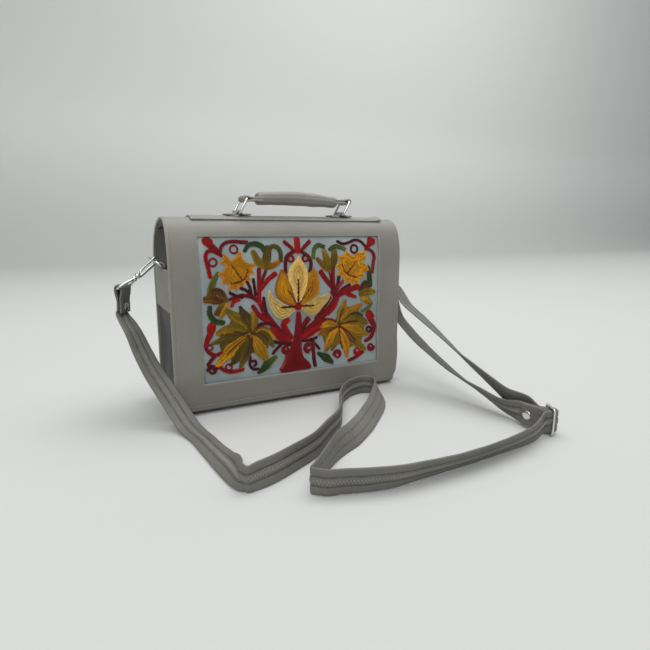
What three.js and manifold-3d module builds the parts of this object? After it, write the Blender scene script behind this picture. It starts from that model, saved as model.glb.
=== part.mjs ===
// A grey leather satchel with an embroidered panel set in its flap, a short top handle on
// two metal rings, and a long shoulder strap on two swivel snap hooks. The bag stands, and
// the strap lies on the surface in front of it.
// Millimetres, +Z up. X runs along the bag's width, the flap faces -Y, and the origin is the
// centre of the underside of the base.

import * as THREE from 'three';
import { mergeVertices } from 'three/addons/utils/BufferGeometryUtils.js';
import Module from 'manifold-3d';

const wasm = await Module();
wasm.setup();

// Bag body
const bagWidth = 260;
const bagDepth = 84;
const bagHeight = 194;
const leather = 2;
const clearance = 0.3;
const flapHem = 5;
const flapCorner = 14;
const backHem = 4;
const frontTop = 170;
const baseBend = 8;
const bodyInset = 1;

// Window in the flap and the cloth behind it
const windowWidth = 202.5;
const windowHeight = 143.7;
const windowSill = 32;
const panelCloth = 1.2;
const panelMargin = 7;

// Side walls
const gussetInset = 3;
const gussetWall = 1.6;
const gussetTop = 182.5;
const foldDepth = 13;

// Leather yokes and their D-rings
const ringHeight = 147;
const tabDrop = 42;
const tabWall = 1.8;
const tabLoopWidth = 20;
const dRingWidth = 26;
const dRingReach = 12.5;
const dRingWire = 2.5;

// Swivel snap hooks
const hookLength = 27;
const hookWidth = 9.6;
const hookWire = 2.8;
const gateThickness = 1.9;
const swivelRadius = 2.6;
const eyeLength = 14.5;
const eyeWire = 2.4;
const postRadius = 1;

// Shoulder strap
const strapWidth = 20.5;
const strapThickness = 2.4;
const strapReach = 245;
const foldedEnd = 23;
const rivetHead = 8.5;
const rivetHeadHeight = 1.1;
const rivetShank = 3.4;

// Adjuster on the strap
const sliderWire = 2.2;
const sliderSpread = 8.4;
const middleBar = 1.6;
const sliderMargin = 0.6;

// Handle
const handleCentre = 4;
const handleSpan = 118;
const topStripLength = 216;
const topStripWidth = 26;
const topStripWall = 1.8;
const ringLean = 29;
const handleRingHeight = 16.5;
const handleRingWidth = 24;
const handleRingWire = 2.8;
const loopWidth = 15;
const loopLength = 26;
const loopWall = 1.6;
const gripLength = 91;
const gripThickness = 14.5;
const gripWidth = 18;
const handleTabWidth = 14.6;
const handleTabWall = 1.8;

const backFace = bagDepth / 2;
const frontFace = -bagDepth / 2;
const crownY = -0.19 * bagDepth;
const halfStrap = strapWidth / 2;
const halfThickness = strapThickness / 2;
const up = new THREE.Vector3(0, 0, 1);

const paint = {
  leather: new THREE.MeshStandardMaterial({ color: 0x85847c, roughness: 0.62, metalness: 0 }),
  gusset: new THREE.MeshStandardMaterial({ color: 0x7a7a72, roughness: 0.66, metalness: 0 }),
  strap: new THREE.MeshStandardMaterial({ color: 0x7f7d76, roughness: 0.64, metalness: 0 }),
  cloth: new THREE.MeshStandardMaterial({ color: 0xa9b6b4, roughness: 0.8, metalness: 0 }),
  metal: new THREE.MeshStandardMaterial({ color: 0xc9c8c4, roughness: 0.25, metalness: 1 }),
};

const group = new THREE.Group();

function addPiece(name, geometry, material) {
  const mesh = new THREE.Mesh(geometry, material);
  mesh.name = name;
  group.add(mesh);
}

// A closed mesh whose faces point out: where the enclosed volume comes out negative, the
// order of each triangle's corners is reversed.
function facingOut(geometry) {
  const place = geometry.getAttribute('position');
  const index = geometry.getIndex();
  const a = new THREE.Vector3();
  const b = new THREE.Vector3();
  const c = new THREE.Vector3();
  let volume = 0;
  for (let i = 0; i < index.count; i += 3) {
    a.fromBufferAttribute(place, index.getX(i));
    b.fromBufferAttribute(place, index.getX(i + 1));
    c.fromBufferAttribute(place, index.getX(i + 2));
    volume += a.dot(b.cross(c));
  }
  if (volume < 0) {
    for (let i = 0; i < index.count; i += 3) {
      const first = index.getX(i);
      index.setX(i, index.getX(i + 2));
      index.setX(i + 2, first);
    }
  }
  return geometry;
}

function meshOf(points, faces) {
  const geometry = new THREE.BufferGeometry();
  geometry.setAttribute('position', new THREE.Float32BufferAttribute(points.flat(), 3));
  geometry.setIndex(faces);
  return facingOut(geometry);
}

// Sections with the same number of points are joined in order. The ends are capped, or the
// last section joins the first where the sweep is a ring.
function sweep(sections, isRing = false) {
  const count = sections[0].length;
  const points = sections.flat().map((p) => p.toArray());
  const faces = [];
  const spans = isRing ? sections.length : sections.length - 1;
  for (let i = 0; i < spans; i += 1) {
    const here = i * count;
    const next = ((i + 1) % sections.length) * count;
    for (let j = 0; j < count; j += 1) {
      const k = (j + 1) % count;
      faces.push(here + j, here + k, next + k, here + j, next + k, next + j);
    }
  }
  if (!isRing) {
    const last = (sections.length - 1) * count;
    for (let j = 1; j < count - 1; j += 1) {
      faces.push(0, j + 1, j, last, last + j, last + j + 1);
    }
  }
  return meshOf(points, faces);
}

// Two grids of points, the outer and the inner face of a wall, closed round their edges.
function wall(outer, inner) {
  const rows = outer.length;
  const columns = outer[0].length;
  const size = rows * columns;
  const points = [...outer.flat(), ...inner.flat()].map((p) => p.toArray());
  const faces = [];
  for (let i = 0; i < rows - 1; i += 1) {
    for (let j = 0; j < columns - 1; j += 1) {
      const a = i * columns + j;
      const b = a + 1;
      const c = a + columns;
      const d = c + 1;
      faces.push(a, b, d, a, d, c, size + a, size + d, size + b, size + a, size + c, size + d);
    }
  }
  const edge = [];
  for (let j = 0; j < columns - 1; j += 1) edge.push(j);
  for (let i = 0; i < rows - 1; i += 1) edge.push(i * columns + columns - 1);
  for (let j = columns - 1; j > 0; j -= 1) edge.push((rows - 1) * columns + j);
  for (let i = rows - 1; i > 0; i -= 1) edge.push(i * columns);
  edge.forEach((a, n) => {
    const b = edge[(n + 1) % edge.length];
    faces.push(a, size + b, b, a, size + a, size + b);
  });
  return meshOf(points, faces);
}

function solidOf(geometry) {
  const bare = geometry.clone();
  bare.deleteAttribute('normal');
  bare.deleteAttribute('uv');
  const merged = facingOut(mergeVertices(bare, 1e-4));
  return new wasm.Manifold(new wasm.Mesh({
    numProp: 3,
    vertProperties: new Float32Array(merged.getAttribute('position').array),
    triVerts: new Uint32Array(merged.getIndex().array),
  }));
}

function geometryOf(solid) {
  const mesh = solid.getMesh();
  const geometry = new THREE.BufferGeometry();
  geometry.setAttribute('position', new THREE.BufferAttribute(mesh.vertProperties, 3));
  geometry.setIndex(new THREE.BufferAttribute(mesh.triVerts, 1));
  return geometry;
}

const join = (first, ...rest) => geometryOf(
  rest.reduce((solid, next) => solid.add(solidOf(next)), solidOf(first)),
);

const cut = (first, ...rest) => geometryOf(
  rest.reduce((solid, next) => solid.subtract(solidOf(next)), solidOf(first)),
);

// An outline drawn in two of the bag's axes and extruded along the third.
function extrudeAlong(axis, shape, from, to, curveSegments = 8) {
  const geometry = new THREE.ExtrudeGeometry(shape, {
    depth: to - from,
    bevelEnabled: false,
    curveSegments,
  });
  geometry.translate(0, 0, from);
  const x = new THREE.Vector3(1, 0, 0);
  const y = new THREE.Vector3(0, 1, 0);
  const basis = new THREE.Matrix4();
  if (axis === 'x') basis.makeBasis(y, up, x);
  if (axis === 'y') basis.makeBasis(x, up, y.clone().negate());
  geometry.applyMatrix4(basis);
  return geometry;
}

// The side view of the arch, from the back hem over the crown to the flap's hem. Offset
// moves the line inwards, measured square to it.
function archLine(offset) {
  const path = new THREE.Path();
  const shoulder = 0.765 * bagHeight;
  const pull = 0.915 * bagHeight;
  path.moveTo(backFace, backHem);
  path.lineTo(backFace, shoulder);
  path.bezierCurveTo(backFace, pull, 0.12 * bagDepth, bagHeight, crownY, bagHeight);
  path.bezierCurveTo(-0.39 * bagDepth, bagHeight, frontFace, pull, frontFace, shoulder);
  path.lineTo(frontFace, flapHem);
  const line = path.getPoints(12);
  return line.map((point, i) => {
    const before = line[Math.max(i - 1, 0)];
    const after = line[Math.min(i + 1, line.length - 1)];
    const along = after.clone().sub(before).normalize();
    return new THREE.Vector2(point.x - offset * along.y, point.y + offset * along.x);
  });
}

// The stretch of a line between two values of one coordinate, with its ends worked out.
function stretchOf(line, key, low, high) {
  const kept = [];
  const inside = (p) => p[key] >= low && p[key] <= high;
  line.forEach((point, i) => {
    if (i > 0 && inside(point) !== inside(line[i - 1])) {
      const before = line[i - 1];
      const limit = Math.min(before[key], point[key]) < low ? low : high;
      const share = (limit - before[key]) / (point[key] - before[key]);
      kept.push(before.clone().lerp(point, share));
    }
    if (inside(point)) kept.push(point.clone());
  });
  return kept;
}

const bandShape = (outer, inner) => new THREE.Shape([...outer, ...inner.slice().reverse()]);

const frontHalf = (line) => line.slice(Math.floor(line.length / 2));

// The flap and the back are one sheet, with the window and the lower corners cut from it.
function makeFlapAndBack() {
  const sheet = extrudeAlong('x', bandShape(archLine(0), archLine(leather)), -bagWidth / 2, bagWidth / 2);
  const opening = new THREE.BoxGeometry(windowWidth, bagDepth / 2, windowHeight);
  opening.translate(0, frontFace, windowSill + windowHeight / 2);
  const corners = [-1, 1].map((side) => {
    const edge = side * bagWidth / 2;
    const turn = edge - side * flapCorner;
    const spare = side * leather;
    const shape = new THREE.Shape();
    shape.moveTo(edge + spare, flapHem - leather);
    shape.lineTo(edge + spare, flapHem + flapCorner);
    shape.lineTo(edge, flapHem + flapCorner);
    shape.absarc(turn, flapHem + flapCorner, flapCorner, side > 0 ? 0 : Math.PI, -Math.PI / 2, side > 0);
    shape.lineTo(turn, flapHem - leather);
    return extrudeAlong('y', shape, backFace - flapCorner, backFace + leather, 6);
  });
  return cut(sheet, opening, ...corners);
}

// The embroidered cloth follows the flap's inner face round the window.
function makePanel() {
  const low = windowSill - panelMargin;
  const high = Math.min(windowSill + windowHeight + panelMargin, bagHeight - leather);
  const outer = stretchOf(frontHalf(archLine(leather + clearance)), 'y', low, high);
  const inner = stretchOf(frontHalf(archLine(leather + clearance + panelCloth)), 'y', low, high);
  const half = windowWidth / 2 + panelMargin;
  return extrudeAlong('x', bandShape(outer, inner), -half, half);
}

const frontStack = leather + clearance + panelCloth + clearance;
const backStack = leather + clearance;

// The front wall, the base and a lip inside the back panel are one sheet, bent round the
// base's two long edges.
function makeFrontAndBase() {
  const half = bagWidth / 2 - bodyInset;
  const lip = 2 * baseBend;
  const side = (inset, bend) => {
    const wallLine = stretchOf(frontHalf(archLine(frontStack + inset)), 'y', lip, frontTop);
    const path = new THREE.Path();
    const front = frontFace + frontStack + inset;
    const back = backFace - backStack - inset;
    path.moveTo(front, lip);
    path.lineTo(front, inset + bend);
    path.absarc(front + bend, inset + bend, bend, Math.PI, 1.5 * Math.PI, false);
    path.lineTo(back - bend, inset);
    path.absarc(back - bend, inset + bend, bend, -Math.PI / 2, 0, false);
    path.lineTo(back, lip);
    return [...wallLine.slice(0, -1), ...path.getPoints(5)];
  };
  return extrudeAlong('x', bandShape(side(0, baseBend), side(leather, baseBend - leather)), -half, half);
}

// The depth from front to back that is free for a side wall at a height.
function roomAt(height) {
  const reach = (offset, isFront) => {
    const line = archLine(offset);
    const middle = Math.floor(line.length / 2);
    const half = isFront ? line.slice(middle) : line.slice(0, middle + 1);
    for (let i = 1; i < half.length; i += 1) {
      const [a, b] = [half[i - 1], half[i]];
      if ((a.y - height) * (b.y - height) <= 0 && a.y !== b.y) {
        return a.x + (b.x - a.x) * (height - a.y) / (b.y - a.y);
      }
    }
    return isFront ? frontFace + offset : backFace - offset;
  };
  const inner = baseBend - leather;
  const below = Math.max(0, inner + leather + clearance - height);
  const bend = inner - Math.sqrt(Math.max(0, inner * inner - below * below));
  const lipWall = height < 2 * baseBend + leather ? leather + clearance : 0;
  const front = reach(frontStack + leather + clearance, true) + bend;
  const back = reach(backStack, false) - bend - lipWall;
  return { front, back };
}

// A side wall folds inwards between its seams. Each row is a height as a share of the wall,
// with the depth of the main fold and of the two small creases beside it as shares of the
// fold depth. The yoke holds the wall flat near the fourth and fifth rows.
const bellows = [
  { height: 0, fold: 0, crease: 0 },
  { height: 0.08, fold: 0.03, crease: 0.04 },
  { height: 0.1, fold: 0.05, crease: 0.06 },
  { height: 0.22, fold: 0.32, crease: 0.16 },
  { height: 0.38, fold: 0.42, crease: 0.2 },
  { height: 0.52, fold: 0.12, crease: 0.03 },
  { height: 0.6, fold: 0, crease: 0 },
  { height: 0.78, fold: 0, crease: 0 },
  { height: 0.84, fold: 0.35, crease: 0.1 },
  { height: 0.91, fold: 0.8, crease: 0.22 },
  { height: 1, fold: 1, crease: 0.25 },
];

function makeGusset(side) {
  const columns = 13;
  const low = leather + clearance;
  const grid = (depth) => bellows.map((row) => {
    const height = low + row.height * (gussetTop - low);
    const room = roomAt(height);
    return Array.from({ length: columns }, (_, j) => {
      const s = j / (columns - 1);
      const fold = row.fold * Math.sin(Math.PI * s) ** 2 + row.crease * Math.sin(3 * Math.PI * s) ** 2;
      const x = side * (bagWidth / 2 - gussetInset - depth - foldDepth * fold);
      return new THREE.Vector3(x, room.front + s * (room.back - room.front), height);
    });
  });
  return wall(grid(0), grid(gussetWall));
}

// Where the D-ring's straight bar runs, in a loop at the top of the yoke.
const yokeFace = bagWidth / 2 - gussetInset + clearance;
const loopBore = dRingWire / 2 + clearance;
const dRingBarX = yokeFace + tabWall / 2 + loopBore;

function makeGussetTab(side) {
  const top = ringHeight;
  const plate = new THREE.Shape();
  plate.moveTo(side * yokeFace, top - tabDrop - tabWall);
  plate.lineTo(side * (yokeFace + tabWall), top - tabDrop - tabWall);
  plate.lineTo(side * (yokeFace + tabWall), top - loopBore - tabWall / 2);
  plate.lineTo(side * yokeFace, top - loopBore - tabWall / 2);
  const room = roomAt(top - tabDrop);
  const sheet = extrudeAlong('y', plate, -room.back + clearance, -room.front - clearance);
  const round = new THREE.Shape();
  round.absarc(side * dRingBarX, top, loopBore + tabWall, 0, 2 * Math.PI, false);
  const bore = new THREE.Path();
  bore.absarc(side * dRingBarX, top, loopBore, 0, 2 * Math.PI, true);
  round.holes.push(bore);
  const loop = extrudeAlong('y', round, -tabLoopWidth / 2, tabLoopWidth / 2, 7);
  const behind = new THREE.BoxGeometry(2 * foldDepth, bagDepth, tabDrop);
  behind.translate(side * (yokeFace - foldDepth), 0, ringHeight);
  return cut(join(sheet, loop), behind);
}

// A round wire along a closed or open run of points. Radius may be a function of the share
// of the run. The frame is carried along so that the wire never twists.
function wire(points, radius, sides, isRing = false) {
  const size = points.length;
  const sections = [];
  let normal = null;
  points.forEach((point, i) => {
    const before = isRing ? points[(i - 1 + size) % size] : points[Math.max(i - 1, 0)];
    const after = isRing ? points[(i + 1) % size] : points[Math.min(i + 1, size - 1)];
    const along = after.clone().sub(before).normalize();
    if (normal === null) {
      const spare = Math.abs(along.z) < 0.9 ? up : new THREE.Vector3(1, 0, 0);
      normal = new THREE.Vector3().crossVectors(along, spare).normalize();
    }
    normal.addScaledVector(along, -normal.dot(along)).normalize();
    const across = new THREE.Vector3().crossVectors(along, normal);
    const r = typeof radius === 'function' ? radius(i / (size - 1)) : radius;
    sections.push(Array.from({ length: sides }, (_, j) => {
      const angle = 2 * Math.PI * j / sides;
      return point.clone()
        .addScaledVector(normal, r * Math.cos(angle))
        .addScaledVector(across, r * Math.sin(angle));
    }));
  });
  return sweep(sections, isRing);
}

const aim = (heading, drop) => new THREE.Vector3(
  Math.cos(THREE.MathUtils.degToRad(heading)) * Math.cos(THREE.MathUtils.degToRad(drop)),
  Math.sin(THREE.MathUtils.degToRad(heading)) * Math.cos(THREE.MathUtils.degToRad(drop)),
  -Math.sin(THREE.MathUtils.degToRad(drop)),
);

// How each hook hangs from its D-ring. Angles are in degrees: rise tips the ring out and up,
// seat is where the hook sits round the ring's bow, and each heading and drop aims the hook's
// body or its eye. Bar turns the eye's bar about the vertical.
const hangs = {
  left: { side: -1, rise: 38, seat: -48, heading: -158, drop: 36, eyeHeading: 152, eyeDrop: 36, bar: 58 },
  right: { side: 1, rise: 12, seat: -15, heading: -50, drop: 76, eyeHeading: -30, eyeDrop: 78, bar: 35 },
};

function dRingPoint(hang, angle) {
  const rise = THREE.MathUtils.degToRad(hang.rise);
  const out = dRingReach * Math.cos(angle);
  return new THREE.Vector3(
    hang.side * (dRingBarX + out * Math.cos(rise)),
    dRingWidth / 2 * Math.sin(angle),
    ringHeight + out * Math.sin(rise),
  );
}

function makeDRing(hang) {
  const steps = 14;
  const bow = Array.from({ length: steps - 1 }, (_, i) => (
    dRingPoint(hang, Math.PI * ((i + 1) / steps - 0.5))
  ));
  const bar = [0.44, 0.2, -0.2, -0.44].map((share) => new THREE.Vector3(
    hang.side * dRingBarX,
    share * dRingWidth,
    ringHeight,
  ));
  return wire([...bow, ...bar], dRingWire / 2, 8, true);
}

// The frame of a hook: v points up to the ring, u across the hook's opening and n along the
// ring's wire.
function hookFrame(hang) {
  const seat = THREE.MathUtils.degToRad(hang.seat);
  const ringCentre = dRingPoint(hang, seat);
  const v = aim(hang.heading, hang.drop).negate();
  const tangent = dRingPoint(hang, seat + 0.01).sub(dRingPoint(hang, seat - 0.01)).normalize();
  const n = tangent.addScaledVector(v, -tangent.dot(v)).normalize();
  const u = new THREE.Vector3().crossVectors(v, n);
  const origin = ringCentre.clone().addScaledVector(v, -hookLength);
  const at = (x, y, z = 0) => origin.clone()
    .addScaledVector(u, x)
    .addScaledVector(v, y)
    .addScaledVector(n, z);
  return { at, v, origin };
}

// Heights along a hook, from the middle of its swivel ball.
const collarLow = swivelRadius + clearance;
const collarHigh = collarLow + 3.4;
const boreTop = collarHigh - 0.8;
const crookSide = (hookWidth - hookWire) / 2;
const crookTop = hookLength + dRingWire / 2 + clearance + hookWire / 2;
const crookTurn = crookTop - crookSide;
const noseEnd = crookTurn - 0.5 * crookSide;
const gatePivotX = crookSide - 0.25;
const gatePivotY = collarHigh + hookWire / 2 + gateThickness / 2 + 1.2 * clearance;

// A shape turned round a hook's long axis. The profile's points are a radius and a height.
function turnedOn(hang, profile) {
  const { origin, v } = hookFrame(hang);
  const lathe = new THREE.LatheGeometry(profile.map(([r, y]) => new THREE.Vector2(r, y)), 12);
  const turn = new THREE.Quaternion().setFromUnitVectors(new THREE.Vector3(0, 1, 0), v);
  return lathe.applyQuaternion(turn).translate(origin.x, origin.y, origin.z);
}

function makeHookBody(hang) {
  const { at } = hookFrame(hang);
  const flat = [[0.75 * crookSide, collarHigh], [0, collarHigh - 0.2], [-0.8 * crookSide, collarHigh + 0.3]];
  const spine = flat.map(([x, y]) => at(x, y));
  spine.push(at(-crookSide, collarHigh + crookSide));
  spine.push(at(-crookSide, (collarHigh + crookTurn) / 2));
  const steps = 9;
  for (let i = 0; i <= steps; i += 1) {
    const angle = Math.PI * (1 - i / steps);
    spine.push(at(crookSide * Math.cos(angle), crookTurn + crookSide * Math.sin(angle)));
  }
  spine.push(at(crookSide, noseEnd));
  const crook = wire(spine, hookWire / 2, 8);
  const collar = turnedOn(hang, [
    [0, collarLow],
    [0.95 * swivelRadius, collarLow],
    [1.1 * swivelRadius, collarLow + 0.5],
    [1.1 * swivelRadius, collarHigh],
    [0, collarHigh + 0.5],
  ]);
  const bore = turnedOn(hang, [
    [0, 0],
    [postRadius + clearance, 0],
    [postRadius + clearance, boreTop],
    [0, boreTop],
  ]);
  return cut(join(crook, collar), bore);
}

// The sprung gate closes the crook from the pivot beside the neck up to the nose.
function makeGate(hang) {
  const { at } = hookFrame(hang);
  const half = gateThickness / 2;
  const top = noseEnd - 1.2 * clearance;
  const shape = [];
  const steps = 6;
  for (let i = 0; i <= steps; i += 1) {
    const angle = Math.PI * (1 + i / steps);
    shape.push([gatePivotX + half * Math.cos(angle), gatePivotY + half * Math.sin(angle)]);
  }
  shape.push([crookSide + 0.9 * half, top], [crookSide - 0.9 * half, top]);
  const sections = [-half, half].map((z) => shape.map(([x, y]) => at(x, y, z)));
  return sweep(sections);
}

// The eye is a triangle of wire with the strap round its bar. The ball at its top turns on a
// post in the hook's collar.
function eyeFrame(hang) {
  const { origin } = hookFrame(hang);
  const down = aim(hang.eyeHeading, hang.eyeDrop);
  const bar = aim(hang.bar, 0);
  bar.addScaledVector(down, -bar.dot(down)).normalize();
  const middle = origin.clone().addScaledVector(down, eyeLength);
  return { top: origin, middle, bar, down };
}

const eyeHalf = halfStrap + 2 * clearance + eyeWire / 2;
const eyeWrap = eyeWire / 2 + 2 * clearance + halfThickness;

function makeEye(hang) {
  const { top, middle, bar, down } = eyeFrame(hang);
  const corner = 2 * eyeWire;
  const place = (across, below) => top.clone().addScaledVector(bar, across).addScaledVector(down, below);
  const length = middle.distanceTo(top);
  const run = [
    place(0, 0),
    place(0.35 * eyeHalf, 0.12 * length),
    place(eyeHalf - 0.3, length - corner),
    place(eyeHalf, length - 0.35 * corner),
    place(eyeHalf - 0.4 * corner, length),
    place(0, length),
    place(0.4 * corner - eyeHalf, length),
    place(-eyeHalf, length - 0.35 * corner),
    place(0.3 - eyeHalf, length - corner),
    place(-0.35 * eyeHalf, 0.12 * length),
  ];
  const points = new THREE.CatmullRomCurve3(run, true, 'centripetal').getPoints(28).slice(0, -1);
  const postTop = boreTop - clearance;
  const ball = turnedOn(hang, [
    [0, -swivelRadius],
    [0.5 * swivelRadius, -0.87 * swivelRadius],
    [0.87 * swivelRadius, -0.5 * swivelRadius],
    [swivelRadius, 0],
    [0.87 * swivelRadius, 0.5 * swivelRadius],
    [postRadius, 0.92 * swivelRadius],
    [postRadius, postTop],
    [0, postTop],
  ]);
  return join(wire(points, eyeWire / 2, 7, true), ball);
}

// The adjuster stands across the strap: its three bars are upright, spread along sliderRun.
const slider = {
  centre: new THREE.Vector3(1.296 * bagWidth / 2, -0.9286 * strapReach, 0),
  run: new THREE.Vector3(0.5, 0.866, 0).normalize(),
  out: new THREE.Vector3(-0.866, 0.5, 0).normalize(),
};
const sliderTall = strapWidth + 2 * sliderMargin + 2 * sliderWire;
const sliderMid = sliderTall / 2;
const innerWrap = Math.hypot(sliderWire / 2, middleBar / 2) + clearance + halfThickness;
const outerWrap = innerWrap + strapThickness + clearance;

function makeSlider() {
  const half = sliderSpread + sliderWire / 2;
  const corner = 2;
  const shape = new THREE.Shape();
  shape.moveTo(-half + corner, 0);
  shape.lineTo(half - corner, 0);
  shape.quadraticCurveTo(half, 0, half, corner);
  shape.lineTo(half, sliderTall - corner);
  shape.quadraticCurveTo(half, sliderTall, half - corner, sliderTall);
  shape.lineTo(-half + corner, sliderTall);
  shape.quadraticCurveTo(-half, sliderTall, -half, sliderTall - corner);
  shape.lineTo(-half, corner);
  shape.quadraticCurveTo(-half, 0, -half + corner, 0);
  const plate = new THREE.ExtrudeGeometry(shape, {
    depth: sliderWire,
    bevelEnabled: false,
    curveSegments: 3,
  });
  plate.translate(0, 0, -sliderWire / 2);
  const from = middleBar / 2;
  const to = sliderSpread - sliderWire / 2;
  const slots = [-1, 1].map((side) => {
    const slot = new THREE.BoxGeometry(to - from, sliderTall - 2 * sliderWire, 2 * sliderWire);
    return slot.translate(side * (from + to) / 2, sliderMid, 0);
  });
  const geometry = cut(plate, ...slots);
  const through = new THREE.Vector3().crossVectors(slider.run, up);
  geometry.applyMatrix4(new THREE.Matrix4().makeBasis(slider.run, up, through));
  return geometry.translate(slider.centre.x, slider.centre.y, 0);
}

// The strap's route is a list of stations: a centre and the direction of the strap's width,
// from its first edge to its second. Rows give side as a share of half the bag's width,
// reach as a share of how far the strap lies ahead of the bag, height as a share of the
// D-rings' height, and the width's heading and tilt in degrees. A tilt of 0 is flat and 90
// is on edge, and no row sinks into the surface that the strap lies on.
function station(row) {
  const tilt = THREE.MathUtils.degToRad(row.tilt);
  const rest = halfStrap * Math.abs(Math.sin(tilt)) + halfThickness * Math.abs(Math.cos(tilt));
  const centre = new THREE.Vector3(
    row.side * bagWidth / 2,
    -row.reach * strapReach,
    Math.max(row.height * ringHeight, rest),
  );
  return { centre, across: aim(row.heading, -row.tilt) };
}

// From the left hook down to the surface and forward, then turning up on its edge.
const leftRun = [
  { side: -1.245, reach: 0.118, height: 0.6, heading: 42, tilt: 0 },
  { side: -1.198, reach: 0.14, height: 0.475, heading: 32, tilt: 0 },
  { side: -1.14, reach: 0.17, height: 0.345, heading: 23, tilt: 0 },
  { side: -1.075, reach: 0.205, height: 0.23, heading: 15, tilt: 0 },
  { side: -1.012, reach: 0.25, height: 0.12, heading: 9, tilt: 0 },
  { side: -0.96, reach: 0.31, height: 0.035, heading: 4, tilt: 0 },
  { side: -0.917, reach: 0.39, height: 0, heading: 2, tilt: 0 },
  { side: -0.893, reach: 0.51, height: 0, heading: 0, tilt: 2 },
  { side: -0.88, reach: 0.61, height: 0, heading: 0, tilt: 10 },
  { side: -0.878, reach: 0.685, height: 0, heading: 0, tilt: 36 },
  { side: -0.882, reach: 0.758, height: 0, heading: 0, tilt: 64 },
  { side: -0.88, reach: 0.797, height: 0, heading: 0, tilt: 83 },
];

// On edge from the first crease to the loop, round the loop and back past its own neck.
const loopRun = [
  { side: -0.78, reach: 0.812, height: 0, heading: 100, tilt: 80 },
  { side: -0.67, reach: 0.793, height: 0, heading: 105, tilt: 78 },
  { side: -0.525, reach: 0.757, height: 0, heading: 110, tilt: 78 },
  { side: -0.33, reach: 0.702, height: 0, heading: 115, tilt: 80 },
  { side: -0.16, reach: 0.622, height: 0, heading: 125, tilt: 84 },
  { side: 0.0, reach: 0.545, height: 0, heading: 130, tilt: 88 },
  { side: 0.115, reach: 0.455, height: 0, heading: 140, tilt: 89 },
  { side: 0.21, reach: 0.36, height: 0, heading: 140, tilt: 89 },
  { side: 0.33, reach: 0.283, height: 0, heading: 140, tilt: 90 },
  { side: 0.46, reach: 0.236, height: 0, heading: 120, tilt: 90 },
  { side: 0.58, reach: 0.226, height: 0, heading: 100, tilt: 90 },
  { side: 0.645, reach: 0.258, height: 0, heading: 190, tilt: 80 },
  { side: 0.622, reach: 0.315, height: 0, heading: 172, tilt: 62 },
  { side: 0.55, reach: 0.375, height: 0, heading: 152, tilt: 43 },
  { side: 0.45, reach: 0.438, height: 0, heading: 140, tilt: 33 },
  { side: 0.325, reach: 0.503, height: 0, heading: 133, tilt: 29 },
  { side: 0.18, reach: 0.58, height: 0, heading: 129, tilt: 36 },
  { side: 0.06, reach: 0.635, height: 0, heading: 126, tilt: 43 },
  { side: -0.03, reach: 0.675, height: 0, heading: 122, tilt: 51 },
  { side: -0.145, reach: 0.716, height: 0, heading: 120, tilt: 66 },
  { side: -0.25, reach: 0.76, height: 0, heading: 120, tilt: 80 },
  { side: -0.365, reach: 0.815, height: 0, heading: 120, tilt: 88 },
  { side: -0.47, reach: 0.868, height: 0, heading: 120, tilt: 90 },
  { side: -0.53, reach: 0.897, height: 0, heading: 120, tilt: 90 },
];

// From the second crease to the adjuster, leaning towards the front along its middle.
const frontRun = [
  { side: -0.49, reach: 0.941, height: 0, heading: -90, tilt: 87 },
  { side: -0.4, reach: 0.957, height: 0, heading: -90, tilt: 84 },
  { side: -0.265, reach: 0.983, height: 0, heading: -90, tilt: 81 },
  { side: -0.085, reach: 1.003, height: 0, heading: -90, tilt: 73 },
  { side: 0.1, reach: 1.005, height: 0, heading: -90, tilt: 65 },
  { side: 0.3, reach: 1.006, height: 0, heading: -90, tilt: 60 },
  { side: 0.5, reach: 1.003, height: 0, heading: -90, tilt: 60 },
  { side: 0.7, reach: 0.995, height: 0, heading: -90, tilt: 62 },
  { side: 0.87, reach: 0.986, height: 0, heading: -90, tilt: 67 },
  { side: 1.0, reach: 0.975, height: 0, heading: -90, tilt: 74 },
  { side: 1.1, reach: 0.962, height: 0.075, heading: -90, tilt: 84 },
];

// From the adjuster up to the right hook, and the second band from the hook back down.
const upperRun = [
  { side: 1.308, reach: 0.825, height: 0.12, heading: 180, tilt: 80 },
  { side: 1.262, reach: 0.75, height: 0.15, heading: 180, tilt: 68 },
  { side: 1.245, reach: 0.675, height: 0.203, heading: 180, tilt: 58 },
  { side: 1.228, reach: 0.593, height: 0.265, heading: 180, tilt: 50 },
  { side: 1.21, reach: 0.508, height: 0.33, heading: 182, tilt: 41 },
  { side: 1.193, reach: 0.424, height: 0.405, heading: 185, tilt: 32 },
  { side: 1.173, reach: 0.313, height: 0.5, heading: 190, tilt: 20 },
  { side: 1.157, reach: 0.23, height: 0.568, heading: 195, tilt: 12 },
  { side: 1.14, reach: 0.142, height: 0.64, heading: 203, tilt: 6 },
];

const lowerRun = [
  { side: 1.126, reach: 0.052, height: 0.65, heading: 213, tilt: 1 },
  { side: 1.128, reach: 0.085, height: 0.53, heading: 207, tilt: 3 },
  { side: 1.142, reach: 0.16, height: 0.435, heading: 200, tilt: 6 },
  { side: 1.158, reach: 0.243, height: 0.355, heading: 195, tilt: 10 },
  { side: 1.173, reach: 0.321, height: 0.292, heading: 190, tilt: 17 },
  { side: 1.187, reach: 0.394, height: 0.24, heading: 185, tilt: 22 },
  { side: 1.202, reach: 0.47, height: 0.19, heading: 182, tilt: 27 },
  { side: 1.218, reach: 0.558, height: 0.148, heading: 180, tilt: 35 },
  { side: 1.233, reach: 0.641, height: 0.113, heading: 180, tilt: 46 },
  { side: 1.246, reach: 0.718, height: 0.08, heading: 180, tilt: 56 },
  { side: 1.25, reach: 0.765, height: 0.075, heading: 180, tilt: 66 },
];

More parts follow.
